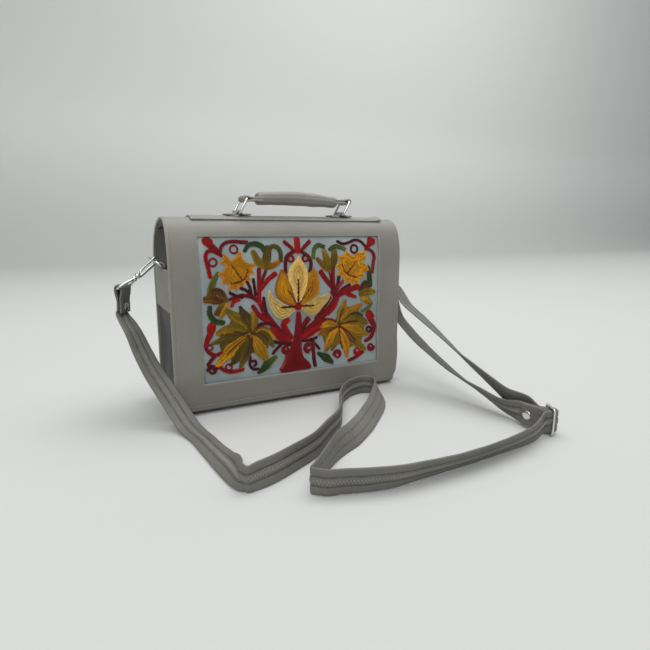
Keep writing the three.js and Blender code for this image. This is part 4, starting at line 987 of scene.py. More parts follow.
# %% The strap's surface
def strap_path(samples):
    """Centre, direction, width and face directions along the strap. The width turns evenly
    from one station to the next and is kept square to the path."""
    centres = np.array([centre for centre, _ in route])
    widths = np.array([across for _, across in route])
    line = through(centres, samples)
    share = np.arange(len(line)) / samples
    k = np.minimum(share.astype(int), len(route) - 2)
    w = (share - k)[:, None]
    width = widths[k] * (1 - w) + widths[k + 1] * w
    along = lengths(line)
    at = np.linspace(0, along[-1], int(along[-1] / (1.1 * mm)))
    centre, width = read_at(at, along, line), read_at(at, along, width)
    tangent = unit(np.gradient(centre, axis=0))
    width = unit(width - tangent * np.sum(width * tangent, 1, keepdims=True))
    face = np.cross(tangent, width)
    sink = half_strap * np.abs(width[:, 2]) + half_thickness * np.abs(face[:, 2]) - centre[:, 2]
    centre[:, 2] += np.clip(sink, 0, None)
    return at, centre, tangent, width, face


strap_at, strap_centre, strap_along, strap_across, strap_face = strap_path(14)
strap_length = strap_at[-1]


def section(angle):
    """The strap's section as a function of an angle: a flat rounded bar, across and
    through, whose edges are a little fuller where the leather is folded under."""
    c, s = np.cos(angle), np.sin(angle)
    across = np.sign(c) * np.abs(c) ** 0.42
    through_part = np.sign(s) * np.abs(s) ** 0.5
    return across, through_part


furrow_place, furrow_width = 3.6 * mm, 0.7 * mm


def strap_surface():
    """Section times path. On the outer face a ridge stands along the seam with a furrow to
    each side, and shallow creases cross the strap at uneven places."""
    quarter_turn = np.array([0.02, 0.1, 0.25, 0.5, 0.8, 1.08, 1.26, 1.36, 1.42, 1.455, 1.475, 1.495, 1.515, 1.54])
    angle = np.concatenate([quarter_turn, math.pi - quarter_turn[::-1], math.pi + quarter_turn,
                            2 * math.pi - quarter_turn[::-1]])
    across, depth = section(angle)
    s, a = np.meshgrid(strap_at, across, indexing="ij")
    outer = np.broadcast_to(depth > 0, a.shape)
    off = np.abs(a) * half_strap
    ridge = 0.3 * mm * np.exp(-(off / (2.9 * mm)) ** 6)
    ridge = ridge - 0.62 * mm * np.exp(-((off - furrow_place) / furrow_width) ** 2)
    fold_edge = 0.16 * mm * np.exp(-((off - 8.6 * mm) / (1.0 * mm)) ** 2)
    places = np.sort(rng.uniform(0, strap_length, 130))
    depths = rng.uniform(0.06, 0.62, 130) ** 1.3 * mm
    slant = rng.uniform(-0.5, 0.5, 130)
    creases = np.zeros_like(s)
    for place, deep, lean in zip(places, depths, slant):
        creases -= deep * np.exp(-((s - place - lean * a * half_strap) / (1.0 * mm)) ** 2) * (0.25 + 0.75 * a ** 2)
    lift = np.where(outer, ridge + fold_edge + creases, 0.5 * creases) + ripple(s * 2, a * 0.02, 0.05 * mm)
    thick = half_thickness * depth[None, :] + lift * np.sign(depth)[None, :] * np.abs(depth)[None, :] ** 0.5
    points = (strap_centre[:, None] + (a * half_strap)[:, :, None] * strap_across[:, None]
              + thick[:, :, None] * strap_face[:, None])
    return points, s, a


points, s_grid, a_grid = strap_surface()
points[:, :, 2] = np.maximum(points[:, :, 2], 0.02 * mm)
strap = add_mesh("folded_shoulder_strap", points, closed_tube(*s_grid.shape), slot="strap")
# This mask puts the strap leather's darker second colour into the two furrows: painted shade.
painted_furrow_shade = np.exp(-((np.abs(a_grid) * half_strap - furrow_place) / furrow_width) ** 2)
put_attribute(strap, "edge", painted_furrow_shade)
dress(strap, strap_hide)
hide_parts("shoulder_strap")
print("strap:", round(strap_length, 3), "m,", len(strap.data.polygons), "faces")

# %% [markdown]
# Sewing shows as short raised threads. One stitch is a thin rod with rounded ends, and it
# is copied to every place along a seam in one array operation: in a zigzag down the strap,
# and one after another inside the edges of the flap.


# %% Stitches
def rod(length, radius, sides=6):
    """A thin rod along x with rounded, slightly sunken ends: points and faces."""
    at = np.array([-0.5, -0.42, -0.2, 0.2, 0.42, 0.5]) * length
    size = np.array([0.35, 0.85, 1, 1, 0.85, 0.35]) * radius
    drop = -np.array([1.2, 0.35, 0, 0, 0.35, 1.2]) * radius
    angle = np.linspace(0, 2 * math.pi, sides, endpoint=False)
    points = np.stack([
        np.repeat(at, sides),
        (size[:, None] * np.cos(angle)).ravel(),
        (size[:, None] * np.sin(angle) + drop[:, None]).ravel(),
    ], 1)
    last = (len(at) - 1) * sides
    caps = [[3, 2, 1, 0], [5, 4, 3, 0], [last, last + 1, last + 2, last + 3], [last, last + 3, last + 4, last + 5]]
    return points, np.concatenate([quads(len(at), sides, False, True), caps])


def sew(name, places, along, outward, length, radius, material, slot="leather"):
    """Many stitches as one piece."""
    shape, faces = rod(length, radius)
    points, cells = copies(shape, faces, places, along, outward, np.ones(len(places)))
    return dress(add_mesh(name, points, cells, slot=slot), material)


def along_line(points, outward, pitch):
    """Evenly spaced places on a line, with its direction and the outward direction there."""
    total = lengths(points)
    count = max(2, int(total[-1] / pitch))
    at = (np.arange(count) + 0.5) * total[-1] / count
    return [read_at(at, total, values) for values in (points, np.gradient(points, axis=0), outward)]


zig_pitch, zig_half = 1.3 * mm, 1.7 * mm
zig_count = int(strap_length / zig_pitch)
zig_at = (np.arange(zig_count) + 0.5) * strap_length / zig_count
centre, ahead, across, face = (read_at(zig_at, strap_at, values)
                               for values in (strap_centre, strap_along, strap_across, strap_face))
lean = np.where(np.arange(zig_count) % 2 == 0, 1.0, -1.0)[:, None]
zig_place = centre + face * (half_thickness + 0.30 * mm)
zig_way = ahead * zig_pitch + across * lean * 2 * zig_half
sew("strap_zigzag_seam", zig_place, zig_way, face, 3.4 * mm, 0.21 * mm, pale_thread, "strap")
print("zigzag:", zig_count, "stitches")

# %% Stitches of the flap
def on_flap(s, x, lift):
    """Points on the flap's outer face at a distance along the sheet and a place across."""
    y, z = read_at(s, sheet_length, sheet_line).T
    tangent = unit(np.gradient(sheet_line, sheet_length, axis=0))
    ty, tz = read_at(s, sheet_length, tangent).T
    out = np.stack([np.zeros_like(s), tz, -ty], 1)
    return np.stack([x, y, z], 1) + out * lift, out


seam_radius = corner_radius - stitch_inset
turn_angle = np.linspace(0, math.pi / 2, 16)
down_s = np.linspace(stitch_inset, end_s - corner_radius, 200)
corner_s = end_s - corner_radius + seam_radius * np.sin(turn_angle)
corner_x = half_width - corner_radius + seam_radius * np.cos(turn_angle)
hem_x = np.linspace(half_width - corner_radius, -half_width + corner_radius, 80)
seam_s = np.concatenate([down_s, corner_s, np.full(80, end_s - stitch_inset), corner_s[::-1], down_s[::-1]])
seam_x = np.concatenate([np.full(200, half_width - stitch_inset), corner_x, hem_x, -corner_x[::-1],
                         np.full(200, stitch_inset - half_width)])
line, out = on_flap(seam_s, seam_x, -0.16 * mm)
places, ways, outs = along_line(line, out, 3.2 * mm)
sew("flap_edge_seam", places, ways, outs, 2.5 * mm, 0.3 * mm, grey_thread)
print("flap seam:", len(places), "stitches")

# %% [markdown]
# ## The adjuster and the rivets
# The adjuster is a frame of bent wire with a thinner bar across its middle. A frame and a
# bar are two tubes in one mesh. The rivets are two caps on a short shank, turned as one
# profile round their axis.


# %% The adjuster and the rivets
def rounded_loop(half_a, half_b, corner, first, second, centre, steps=6):
    """A rounded rectangle in the plane of two directions: four quarter arcs."""
    turn = np.linspace(0, math.pi / 2, steps)
    parts = []
    for k, (a, b) in enumerate(((1, 1), (-1, 1), (-1, -1), (1, -1))):
        angle = turn + k * math.pi / 2
        parts.append(np.stack([a * (half_a - corner) + corner * np.cos(angle),
                               b * (half_b - corner) + corner * np.sin(angle)], 1))
    flat = np.concatenate(parts)
    return centre + flat[:, :1] * first + flat[:, 1:] * second


def add_rivet(name, centre, axis, node_name):
    """Two domed caps with a fine rim, and the shank between them."""
    grip = strap_thickness + 1.5 * clearance
    tall, r, shank = 1.1 * mm, 4.25 * mm, 1.7 * mm
    dome = np.radians([3, 15, 30, 45, 60, 75])
    upper = [(r, grip), (r, grip + 0.2 * tall)]
    upper += [(0.97 * r * math.cos(a), grip + tall * (0.2 + 0.8 * math.sin(a))) for a in dome]
    upper += [(0.01 * r, grip + tall)]
    lower = [(radius, -height) for radius, height in upper[::-1]]
    rivet = add_turned(name, centre, axis, lower + [(shank, -grip), (shank, grip)] + upper, sides=36)
    dress(rivet, nickel)
    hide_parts(node_name)


frame_line = rounded_loop(slider_spread, (slider_tall - slider_wire) / 2, 1.6 * mm, slider_run, world_up, slider_mid)
frame_part = tube(frame_line, slider_wire / 2, 14, ring=True)
bar_reach = slider_tall / 2 - 0.8 * slider_wire
bar_line = slider_mid + np.linspace(-1, 1, 8)[:, None] * bar_reach * world_up
bar_part = tube(bar_line, middle_bar / 2, start=(1, 0, 0))
adjuster = merge("wire_adjuster", [frame_part, bar_part])
dress(adjuster, nickel)
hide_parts("strap_adjuster")
add_rivet("rivet_at_hook", at_hook(0, 0.78)[0], facing, "strap_rivet_hook")
band_facing = unit(np.cross(band_aim, world_up))
add_rivet("rivet_at_adjuster", tip[-2][0] + band_facing * riveted_gap / 2, band_facing, "strap_rivet_adjuster")
print("adjuster and rivets:", len(adjuster.data.polygons), "faces in the frame")

# %% [markdown]
# ## The handle
# A leather strip lies along the crown. Two short loops on it hold wire rings that lean over
# to the right, and the padded grip hangs between the rings by a folded tab at each end.

# %% The strip and the rings
handle_centre, handle_span = 4 * mm, 118 * mm
strip_low, strip_high = low("top_strip"), high("top_strip")
strip_wall = 1.8 * mm
whole_arch = arch(-clearance - strip_wall)
strip_line = cut_line(whole_arch, 0, strip_low[1], strip_high[1])


def strip_lift(s, t, end):
    """The strip lies flat but for its right end, which stands up a little, and a groove
    under the seam along its edges."""
    inside = np.minimum(s, end - s)
    curl = 1.6 * mm * np.clip((t - strip_high[0] + 16 * mm) / (16 * mm), 0, 1) ** 2
    return curl - 0.25 * mm * np.exp(-((inside - 2.6 * mm) / (0.7 * mm)) ** 2) + ripple(s, t, 0.06 * mm)


bent_sheet("strip_under_handle", strip_line, "x", strip_low[0], strip_high[0], strip_wall, hide, spacing=1.4,
           relief=strip_lift, replaces=("top_strip",))
ring_wire, ring_tall, ring_broad = 2.8 * mm, 16.5 * mm, 24 * mm
ring_tilt = math.radians(29)
lower_bar = bag_height + clearance + strip_wall + clearance + ring_wire / 2 + clearance
upper_bar = lower_bar + ring_tall * math.cos(ring_tilt)
grip_middle = handle_centre + ring_tall * math.sin(ring_tilt)
loop_wall = 1.6 * mm
for side, name in yoke_names:
    centre_x = handle_centre + side * handle_span / 2
    bore = ring_wire / 2 + clearance
    outer = bore + loop_wall
    floor_z = low(f"ring_loop_{name}")[2] + loop_wall
    turn_up = np.radians([165, 140, 115, 90, 65, 40, 15])
    half_length = 13 * mm
    knots = np.concatenate([
        [[-half_length, floor_z], [-0.7 * half_length, floor_z], [-0.42 * half_length, floor_z + 0.1 * mm]],
        np.stack([outer * np.cos(turn_up), lower_bar + outer * np.sin(turn_up)], 1),
        [[0.42 * half_length, floor_z + 0.1 * mm], [0.7 * half_length, floor_z], [half_length, floor_z]],
    ])
    loop_line = through(knots, 8) + [centre_x, 0]
    width = high(f"ring_loop_{name}")[1] - low(f"ring_loop_{name}")[1]
    loop = bent_sheet(f"ring_holder_{name}", loop_line, "y", crown_y - width / 2, crown_y + width / 2, loop_wall,
                      hide, outward="left", spacing=0.8, rim=0.3, replaces=(f"ring_loop_{name}",))
    rise_way = np.array([math.sin(ring_tilt), 0, math.cos(ring_tilt)])
    ring_middle = np.array([centre_x, crown_y, lower_bar]) + rise_way * ring_tall / 2
    ring_line = rounded_loop((ring_broad - ring_wire) / 2, ring_tall / 2, 3 * mm, np.array([0, 1.0, 0]), rise_way,
                             ring_middle, 8)
    ring = add_tube(f"handle_wire_{name}", ring_line, ring_wire / 2, 16, ring=True, start=(1, 0, 0))
    dress(ring, nickel)
    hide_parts(f"handle_ring_{name}")
    print(loop.name, ring.name)

# %% The padded grip
grip_length, grip_thick, grip_wide = 91 * mm, 14.5 * mm, 18 * mm
grip_table = np.array([
    # along, tall, wide, rise
    [0.00, 0.66, 0.80, 0.03], [0.012, 0.80, 0.90, 0.035], [0.04, 0.86, 0.95, 0.06], [0.15, 0.92, 0.98, 0.09],
    [0.32, 0.96, 1.00, 0.12], [0.50, 1.00, 1.00, 0.12], [0.68, 0.95, 1.00, 0.07], [0.85, 0.86, 0.98, 0.0],
    [0.96, 0.80, 0.95, -0.05], [0.988, 0.74, 0.90, -0.055], [1.00, 0.60, 0.80, -0.06],
])


def grip_surface():
    """A padded tube: rounded sections along the grip, each with its own height, width and
    rise, a fine ridge along the seam on each side, and soft creases across the pad."""
    share = np.unique(np.concatenate([np.linspace(0, 0.05, 12), np.linspace(0.05, 0.95, 100),
                                      np.linspace(0.95, 1, 12)]))
    smooth = through(grip_table, 12)
    tall, wide, rise = (np.interp(share, smooth[:, 0], smooth[:, k]) for k in (1, 2, 3))
    angle = np.linspace(0, 2 * math.pi, 72, endpoint=False)
    c, s = np.cos(angle), np.sin(angle)
    round_c, round_s = np.sign(c) * np.abs(c) ** 0.8, np.sign(s) * np.abs(s) ** 0.85
    ridge = 1 + 0.04 * np.exp(-(s / 0.10) ** 2) - 0.03 * np.exp(-((np.abs(s) - 0.28) / 0.10) ** 2)
    x = grip_middle - grip_length / 2 + share * grip_length
    wave = 0.25 * mm * np.sin(x[:, None] * 260 + 1.5 * np.sin(angle * 2)[None]) * np.sin(x[:, None] * 47)
    y = crown_y + (wide[:, None] * grip_wide / 2 * 0.93) * (round_c * ridge)[None]
    z = upper_bar + (rise * grip_thick)[:, None] + (tall[:, None] * grip_thick / 2 + wave) * round_s[None]
    return np.stack([np.broadcast_to(x[:, None], y.shape), y, z], -1)


grid = grip_surface()
grip = add_mesh("padded_grip", grid, closed_tube(*grid.shape[:2]))
put_attribute(grip, "edge", 0.0 * grid[:, :, 0])
dress(grip, hide)
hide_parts("handle_grip")
grip_tab_wall, grip_tab_half = 1.8 * mm, 8.7 * mm
for side, name in yoke_names:
    bar_x = grip_middle + side * handle_span / 2
    outer = ring_wire / 2 + clearance + grip_tab_wall
    turn_round = np.radians([75, 45, 15, -15, -45, -75])
    inner_x = grip_length / 2 - 4 * mm - handle_span / 2
    knots = np.concatenate([
        [[inner_x, 2.2 * mm], [0.6 * inner_x, 2.1 * mm], [-5.5 * mm, 2.2 * mm], [-3 * mm, 2.9 * mm]],
        np.stack([outer * np.cos(turn_round), outer * np.sin(turn_round)], 1),
        [[-3 * mm, -2.9 * mm], [-5.5 * mm, -2.2 * mm], [0.6 * inner_x, -2.1 * mm], [inner_x, -2.2 * mm]],
    ])
    tab_line = through(knots, 8) * [side, 1] + [bar_x, upper_bar]
    tab = bent_sheet(f"grip_tab_{name}", tab_line, "y", crown_y - grip_tab_half, crown_y + grip_tab_half,
                     grip_tab_wall, hide, outward="left" if side > 0 else "right", spacing=0.8, rim=0.3)
    print(tab.name, len(tab.data.polygons), "faces")

# %% [markdown]
# ## The embroidered panel
# The panel is one piece of pale satin, cut a little larger than the window and held against
# the back of the flap. It is a single sheet that follows the same arch as the leather.

# %% The satin
panel_low, panel_high = low("embroidered_panel"), high("embroidered_panel")
panel_arch = arch(leather + clearance)
panel_line = cut_line(panel_arch[len(panel_arch) // 2:], 1, panel_low[2], panel_high[2])
panel_cloth = 1.2 * mm
panel = bent_sheet("satin_panel", panel_line, "x", panel_low[0], panel_high[0], panel_cloth, satin, slot="cloth",
                   relief=lambda s, t, end: np.minimum(ripple(s, t, 0.15 * mm), 0), replaces=("embroidered_panel",))
print("satin:", round(lengths(panel_line)[-1], 4), "m tall")

# %% [markdown]
# ## The embroidery
# The pattern is the common tree of crewel work: a red trunk and branches, maple leaves,
# flowers and curls, all in wool chain stitch. It is written down as a list of strokes, as a
# designer would draw them on the cloth: one colour or the two between which the wool
# changes, one width or three for the start, the middle and the end, and a line in
# millimetres from the window's top left corner. Closed leaves, and the grounds under the
# petals of the large leaves, are outlines instead. From that one list come the raised wool
# ground, which is a height map, and the rows of linked loops on top of it.

# %% Wool colours
wool_colours = {
    "red": {"crimson": (146, 8, 20), "scarlet": (186, 14, 16), "maroon": (92, 6, 22), "pink": (184, 70, 78)},
    "gold": {"gold": (232, 164, 10), "amber": (204, 128, 6), "ochre": (154, 98, 16), "rust": (142, 54, 12),
             "cream": (250, 208, 110), "ivory": (254, 226, 150)},
    "green": {"olive": (130, 108, 18), "straw": (174, 134, 18), "bark": (86, 66, 16), "brown": (106, 58, 18),
              "green": (66, 90, 34), "leaf": (106, 126, 54), "dark": (40, 66, 36)},
}

# %% Trunk and branches
trunk_strokes = [
    # one colour or two, one width or three, the line
    ("crimson", (7, 6, 3), [(92, 112), (85, 103), (75, 91), (66, 78), (60, 66), (52, 60), (42, 58)]),
    ("crimson", (4, 3, 2.5), [(42, 58), (36, 59), (27, 62)]),
    ("maroon", 3, [(42, 60), (36, 58), (30, 55)]),
    ("scarlet", (4, 4, 3), [(38, 62), (33, 64), (31, 68)]),
    ("maroon", 3, [(52, 60), (50, 50), (47, 44)]),
    ("maroon", 3, [(50, 57), (46, 53), (41, 51)]),
    ("maroon", (3.2, 3, 3), [(56, 58), (55, 50), (54, 43)]),
    ("scarlet crimson", (3.5, 4, 4), [(60, 68), (60, 50), (60, 33)]),
    ("crimson maroon", 3, [(61, 50), (64, 42), (67, 35)]),
    ("scarlet", (4, 4.5, 5), [(62, 52), (70, 43), (77, 38)]),
    ("maroon", (3.5, 3.5, 3), [(67, 78), (65, 68), (64.5, 62)]),
    ("crimson scarlet", (4, 5, 4), [(53, 70), (60, 80), (70, 88)]),
    ("crimson scarlet", (4, 6, 6), [(95, 106), (90, 99), (86, 91), (90, 87)]),
    ("maroon crimson", (3.5, 3.5, 4), [(52, 94), (58, 90), (68, 88.5), (76, 92), (84, 99), (92, 110)]),
    ("scarlet", (5, 8, 6), [(73, 95), (81, 103), (92, 110)]),
    ("maroon", (3.5, 3, 3), [(76, 109), (83, 111), (92, 113)]),
    ("maroon", 3, [(74, 121), (80, 115), (87, 110)]),
    ("crimson", (6, 6, 7), [(145, 60), (148, 66), (142, 76), (132, 86), (120, 95), (110, 103)]),
    ("scarlet crimson", (5, 5, 4), [(130, 38), (136, 46), (144, 55)]),
    ("crimson", 4, [(141, 36), (143, 46), (145, 60)]),
    ("scarlet crimson", (3, 3.5, 3.5), [(145, 34), (145, 46), (146, 58)]),
    ("maroon crimson", 3.5, [(152, 42), (150, 54), (147, 62)]),
    ("pink crimson", (4, 3.5, 3), [(157, 49), (152, 54), (149, 60)]),
    ("maroon crimson", 3, [(166, 53), (157, 57), (151, 63)]),
    ("scarlet crimson", (6, 6, 5), [(176, 56), (164, 59), (151, 64)]),
    ("scarlet", (3, 5, 3), [(173, 67), (165, 64), (158, 61)]),
    ("maroon crimson", (3, 4, 4), [(141, 66), (134, 76), (124, 88)]),
    ("scarlet", (3, 3.5, 3.5), [(151, 67), (147, 76), (139, 84)]),
    ("crimson", (3, 3.5, 4), [(152, 97), (143, 91), (133, 91), (122, 95), (110, 101)]),
    ("scarlet", (6, 8, 4), [(130, 97), (119, 102), (107, 109)]),
    ("crimson maroon", (6, 5, 4), [(114, 88), (111, 92), (107, 99)]),
    ("maroon", 3, [(107, 111), (116, 111), (125, 109)]),
    ("maroon", 3, [(118, 112), (124, 117), (128, 122)]),
    ("crimson maroon", (3.5, 4, 4), [(121, 113), (121, 125), (122, 135), (123, 140)]),
    ("scarlet", 6, [(103, 4), (103, 9), (103, 15)]),
    ("crimson", (3.5, 3.5, 3), [(89, 6), (94, 10), (99, 15)]),
    ("crimson", (4, 3.5, 3), [(117, 6), (112, 10), (107, 15)]),
    ("crimson maroon", 3.5, [(98, 16), (91, 20), (89, 27), (89, 36)]),
    ("crimson maroon", 3.5, [(107, 16), (115, 21), (118, 28), (117, 36)]),
]

# %% Leaves and flowers of single strokes
petal_strokes = [
    ("dark green", (3, 5, 5), [(46, 14), (50, 9), (57, 7.5), (64, 10), (67, 15)]),
    ("olive green", (4, 4.5, 4), [(70, 13), (76, 10), (81, 11.5), (84, 17), (84, 24)]),
    ("olive straw", (5, 8, 3), [(55, 16), (59, 24), (66, 32)]),
    ("bark olive", (6, 9, 4), [(71, 12), (69, 20), (68, 30)]),
    ("amber ochre", (4, 6, 3), [(81, 26), (75, 29), (68, 32)]),
    ("leaf olive", (3, 6, 6), [(18, 35), (14, 42), (11, 50), (10, 56)]),
    ("ochre brown", (6, 9, 4), [(6, 60), (12, 60), (20, 63)]),
    ("brown olive", (5, 7, 4), [(13, 52), (19, 53), (26, 63)]),
    ("brown straw", (5, 6, 3), [(16, 74), (20, 69), (26, 64)]),
    ("gold straw", (3, 5, 4), [(26, 66), (24, 71), (20, 77)]),
    ("dark green", (4, 5.5, 5), [(9, 68), (9, 75), (14, 82), (21, 84)]),
    ("straw olive", (5, 12, 3), [(49, 95), (41, 85), (31, 77), (25, 71)]),
    ("olive bark", (5, 11, 3), [(50, 94), (47, 84), (42, 75), (40, 70)]),
    ("ochre straw", (4, 8, 4), [(52, 94), (54, 86), (53, 77)]),
    ("olive straw", (5, 12, 4), [(48, 96), (36, 92), (24, 92), (16, 94)]),
    ("bark olive", (4, 9, 2), [(48, 98), (33, 100), (20, 101), (10, 104)]),
    ("straw gold", (5, 13, 4), [(48, 99), (36, 107), (24, 117), (14, 127)]),
    ("olive bark", (5, 11, 3), [(49, 101), (42, 112), (35, 121), (28, 128)]),
    ("bark olive", (5, 10, 3), [(50, 102), (47, 113), (42, 123), (38, 131)]),
    ("gold straw", (5, 13, 4), [(52, 101), (57, 110), (63, 121), (67, 129)]),
    ("bark olive", (5, 10, 3), [(53, 97), (61, 99), (69, 106), (74, 113)]),
    ("olive gold", (3, 4, 2), [(54, 96), (62, 93), (69, 96), (76, 105)]),
    ("leaf dark", (3, 9, 3), [(77, 125), (70, 130), (63, 136), (58, 140)]),
    ("leaf green", (4, 4.5, 4), [(121, 22), (122, 14), (127, 9.5), (133, 11)]),
    ("ochre straw", (4, 6, 3), [(126, 24), (133, 31), (141, 38)]),
    ("straw olive", (5, 8, 4), [(134, 16), (137, 25), (140, 34)]),
    ("olive bark", (5, 8, 4), [(146, 14), (146, 23), (144, 34)]),
    ("green leaf", (4, 4.5, 3.5), [(141, 14), (147, 11), (153, 12), (159, 14)]),
    ("dark green", (3, 6, 5), [(190, 34), (191, 44), (193, 55)]),
    ("brown bark", (5, 9, 5), [(180, 60), (186, 54), (193, 54)]),
    ("olive straw", (6, 9, 5), [(181, 64), (188, 62), (197, 63)]),
    ("gold straw", (5, 8, 4), [(183, 70), (189, 72), (194, 75)]),
    ("leaf", (3, 4, 3), [(195, 76), (190, 81), (183, 84)]),
    ("olive straw", (5, 11, 4), [(152, 97), (155, 86), (158, 78), (160, 71)]),
    ("straw amber", (5, 10, 4), [(153, 96), (163, 86), (172, 81), (181, 77)]),
    ("bark dark", (3, 4, 3), [(158, 93), (167, 88), (174, 86), (182, 89)]),
    ("straw olive", (5, 12, 4), [(154, 98), (168, 93), (180, 94), (189, 98)]),
    ("gold straw", (5, 12, 3), [(154, 99), (168, 104), (180, 108), (190, 111)]),
    ("olive straw", (5, 12, 4), [(153, 100), (164, 110), (176, 120), (187, 129)]),
    ("gold amber", (5, 11, 3), [(152, 101), (158, 112), (162, 123), (163, 134)]),
    ("straw olive", (5, 10, 3), [(151, 101), (150, 110), (147, 118), (144, 124)]),
    ("gold ochre", (5, 10, 3), [(150, 100), (145, 107), (140, 116), (136, 126)]),
    ("ochre amber", (4, 9, 3), [(149, 99), (141, 101), (134, 103), (128, 106)]),
    ("straw gold", (4, 8, 3), [(149, 97), (142, 95), (136, 95), (130, 98)]),
    ("dark green", (3, 9, 3), [(127, 127), (133, 131), (139, 135), (145, 140)]),
]

# %% Curls, loops and spirals
curl_strokes = [
    ("crimson", (7, 6, 3), [(10, 5), (13, 9), (17, 13), (22, 18)]),
    ("crimson scarlet", (3.5, 3.5, 4), [(19, 16), (14, 13.5), (9, 14.5), (7, 20), (8.5, 27), (10.5, 38)]),
    ("crimson", (3, 3, 3.5), [(21, 16), (23, 9.5), (28, 6), (35, 5), (42, 5.5), (48, 6)]),
    ("scarlet crimson", (7, 3.5, 3), [(10, 87), (9, 93), (5, 101), (4, 108), (7, 113), (13, 116), (19, 114)]),
    ("crimson maroon", (3.5, 3.5, 3), [(13, 116), (9, 120), (5, 125)]),
    ("crimson scarlet", (3, 4, 3.5), [(12, 131), (16, 129), (22, 133), (28, 135), (40, 134.5)]),
    ("maroon", 3, [(49, 123), (48, 130), (51, 135), (57, 136)]),
    ("maroon", 2.6, [(51, 127), (54, 127), (55, 130), (53, 132)]),
    ("crimson pink", 3, [(90, 121), (88, 130), (84, 138)]),
    ("maroon", (3.2, 2.8, 2.8), [(151, 6), (158, 8.5), (165, 7), (173, 4.5), (180, 6), (186, 12)]),
    ("crimson", (7, 5, 3), [(194, 6), (190, 10), (186, 15)]),
    ("crimson scarlet", (3, 4, 3), [(187, 14), (194, 17), (197, 23), (196, 30), (195, 40)]),
    ("crimson", (8, 4, 4), [(192, 88), (195, 95), (199, 102), (198, 110), (194, 116), (188, 119)]),
    ("crimson scarlet", 3.5, [(184, 132), (175, 137), (166, 140)]),
    ("scarlet", 8, [(9, 4.5), (10, 5.2), (11, 6)]),
    ("scarlet", 8, [(193, 5.5), (194, 6), (195, 6.5)]),
    ("scarlet", 8, [(10, 87), (9.8, 88.5), (9.5, 90)]),
    ("scarlet", 8.5, [(192, 88), (193, 89.5), (194, 91)]),
]
curl_loops = [
    # colour, width, centre, radius, turns, start angle in degrees
    ("crimson", 1.9, (13.8, 24.5), 3.7, 1, 0), ("crimson", 1.9, (35, 12.5), 3.8, 1, 0),
    ("crimson", 1.8, (7.5, 108), 2.6, 1, 0), ("maroon", 2.0, (9, 131), 5.0, 1.5, 180),
    ("crimson", 1.9, (26, 130), 3.2, 1, 0), ("crimson", 2.0, (88, 118.5), 4.6, 1.4, 60),
    ("crimson", 2.0, (95, 23), 3.0, 1, 0), ("crimson", 2.0, (111.5, 23), 3.0, 1, 0),
    ("maroon", 2.0, (171, 14), 4.2, 1, 0), ("crimson", 2.2, (115, 119), 5.8, 1.6, 90),
    ("maroon", 2.0, (192, 106), 3.0, 1, 0), ("crimson", 2.1, (195, 127), 4.8, 1.5, 0),
    ("crimson", 2.1, (151, 131), 5.2, 1.5, 180), ("scarlet", 2.1, (177, 130), 5.2, 1.5, 0),
]

# %% Whole leaves
fan_grounds = [
    # what shows between the petals of the two large leaves
    ("olive bark", [
        (50, 82), (42, 75), (33, 78), (27, 87), (20, 93), (17, 103), (20, 115), (27, 122), (37, 124),
        (46, 118), (57, 119), (65, 121), (69, 110), (68, 100), (60, 93), (55, 86)]),
    ("straw olive", [
        (152, 86), (158, 76), (168, 80), (178, 84), (184, 94), (185, 107), (180, 120), (171, 123), (163, 126),
        (153, 119), (144, 119), (136, 117), (132, 106), (134, 98), (143, 96)]),
]
leaf_outlines = [
    # colour at the edge and, where it differs, in the middle; the outline
    ("crimson", [
        (101, 79), (99.5, 92), (98, 103), (96, 112), (92, 120), (90, 127), (86, 134), (81, 139), (83, 143),
        (104, 143), (118, 142), (116, 136), (110, 130), (107, 121), (107, 111), (107, 100), (107, 90),
        (105, 79)]),
    ("gold amber", [
        (20, 15.5), (27, 18), (32, 23), (36, 20), (42, 14), (43, 20), (47, 25), (57, 28), (53, 32), (55, 36),
        (50, 38), (51, 43), (45, 44), (44, 50), (40, 48), (36, 54), (33, 50), (28, 52), (28, 46), (21, 45),
        (23, 40), (17, 36), (24, 33), (26, 28), (21, 25), (24, 21)]),
    ("gold", [
        (189, 14), (185, 20), (187, 25), (180, 28), (186, 31), (190, 38), (183, 40), (185, 46), (178, 46),
        (177, 53), (171, 51), (168, 55), (165, 49), (158, 50), (158, 44), (150, 42), (153, 37), (147, 32),
        (153, 28), (151, 21), (158, 21), (160, 14), (165, 19), (170, 22), (173, 17), (180, 18)]),
    ("gold amber", [
        (84, 33), (80, 42), (77, 51), (78, 60), (85, 67), (93, 71), (100, 73), (98, 62), (95, 50), (92, 42),
        (87, 35)]),
    ("amber gold", [
        (122, 33), (126, 40), (128, 50), (127, 60), (119, 67), (110, 71), (105, 73), (108, 63), (111, 52),
        (113, 43), (118, 36)]),
    ("cream ivory", [
        (71, 54), (75, 61), (82, 66), (90, 71), (100, 74), (101, 76), (96, 80), (90, 84), (83, 85), (77, 81),
        (72, 73), (69, 64), (69, 57)]),
    ("cream ivory", [
        (141, 62), (136, 62), (131, 64), (125, 63), (118, 68), (108, 72), (105, 75), (110, 80), (118, 84),
        (126, 82), (132, 76), (138, 70), (141, 65)]),
    ("cream ivory", [
        (104, 20), (108, 26), (113, 34), (114, 44), (112, 54), (108, 64), (104, 72), (102, 70), (99, 63),
        (96, 54), (92, 44), (92, 38), (95, 30), (100, 25)]),
]
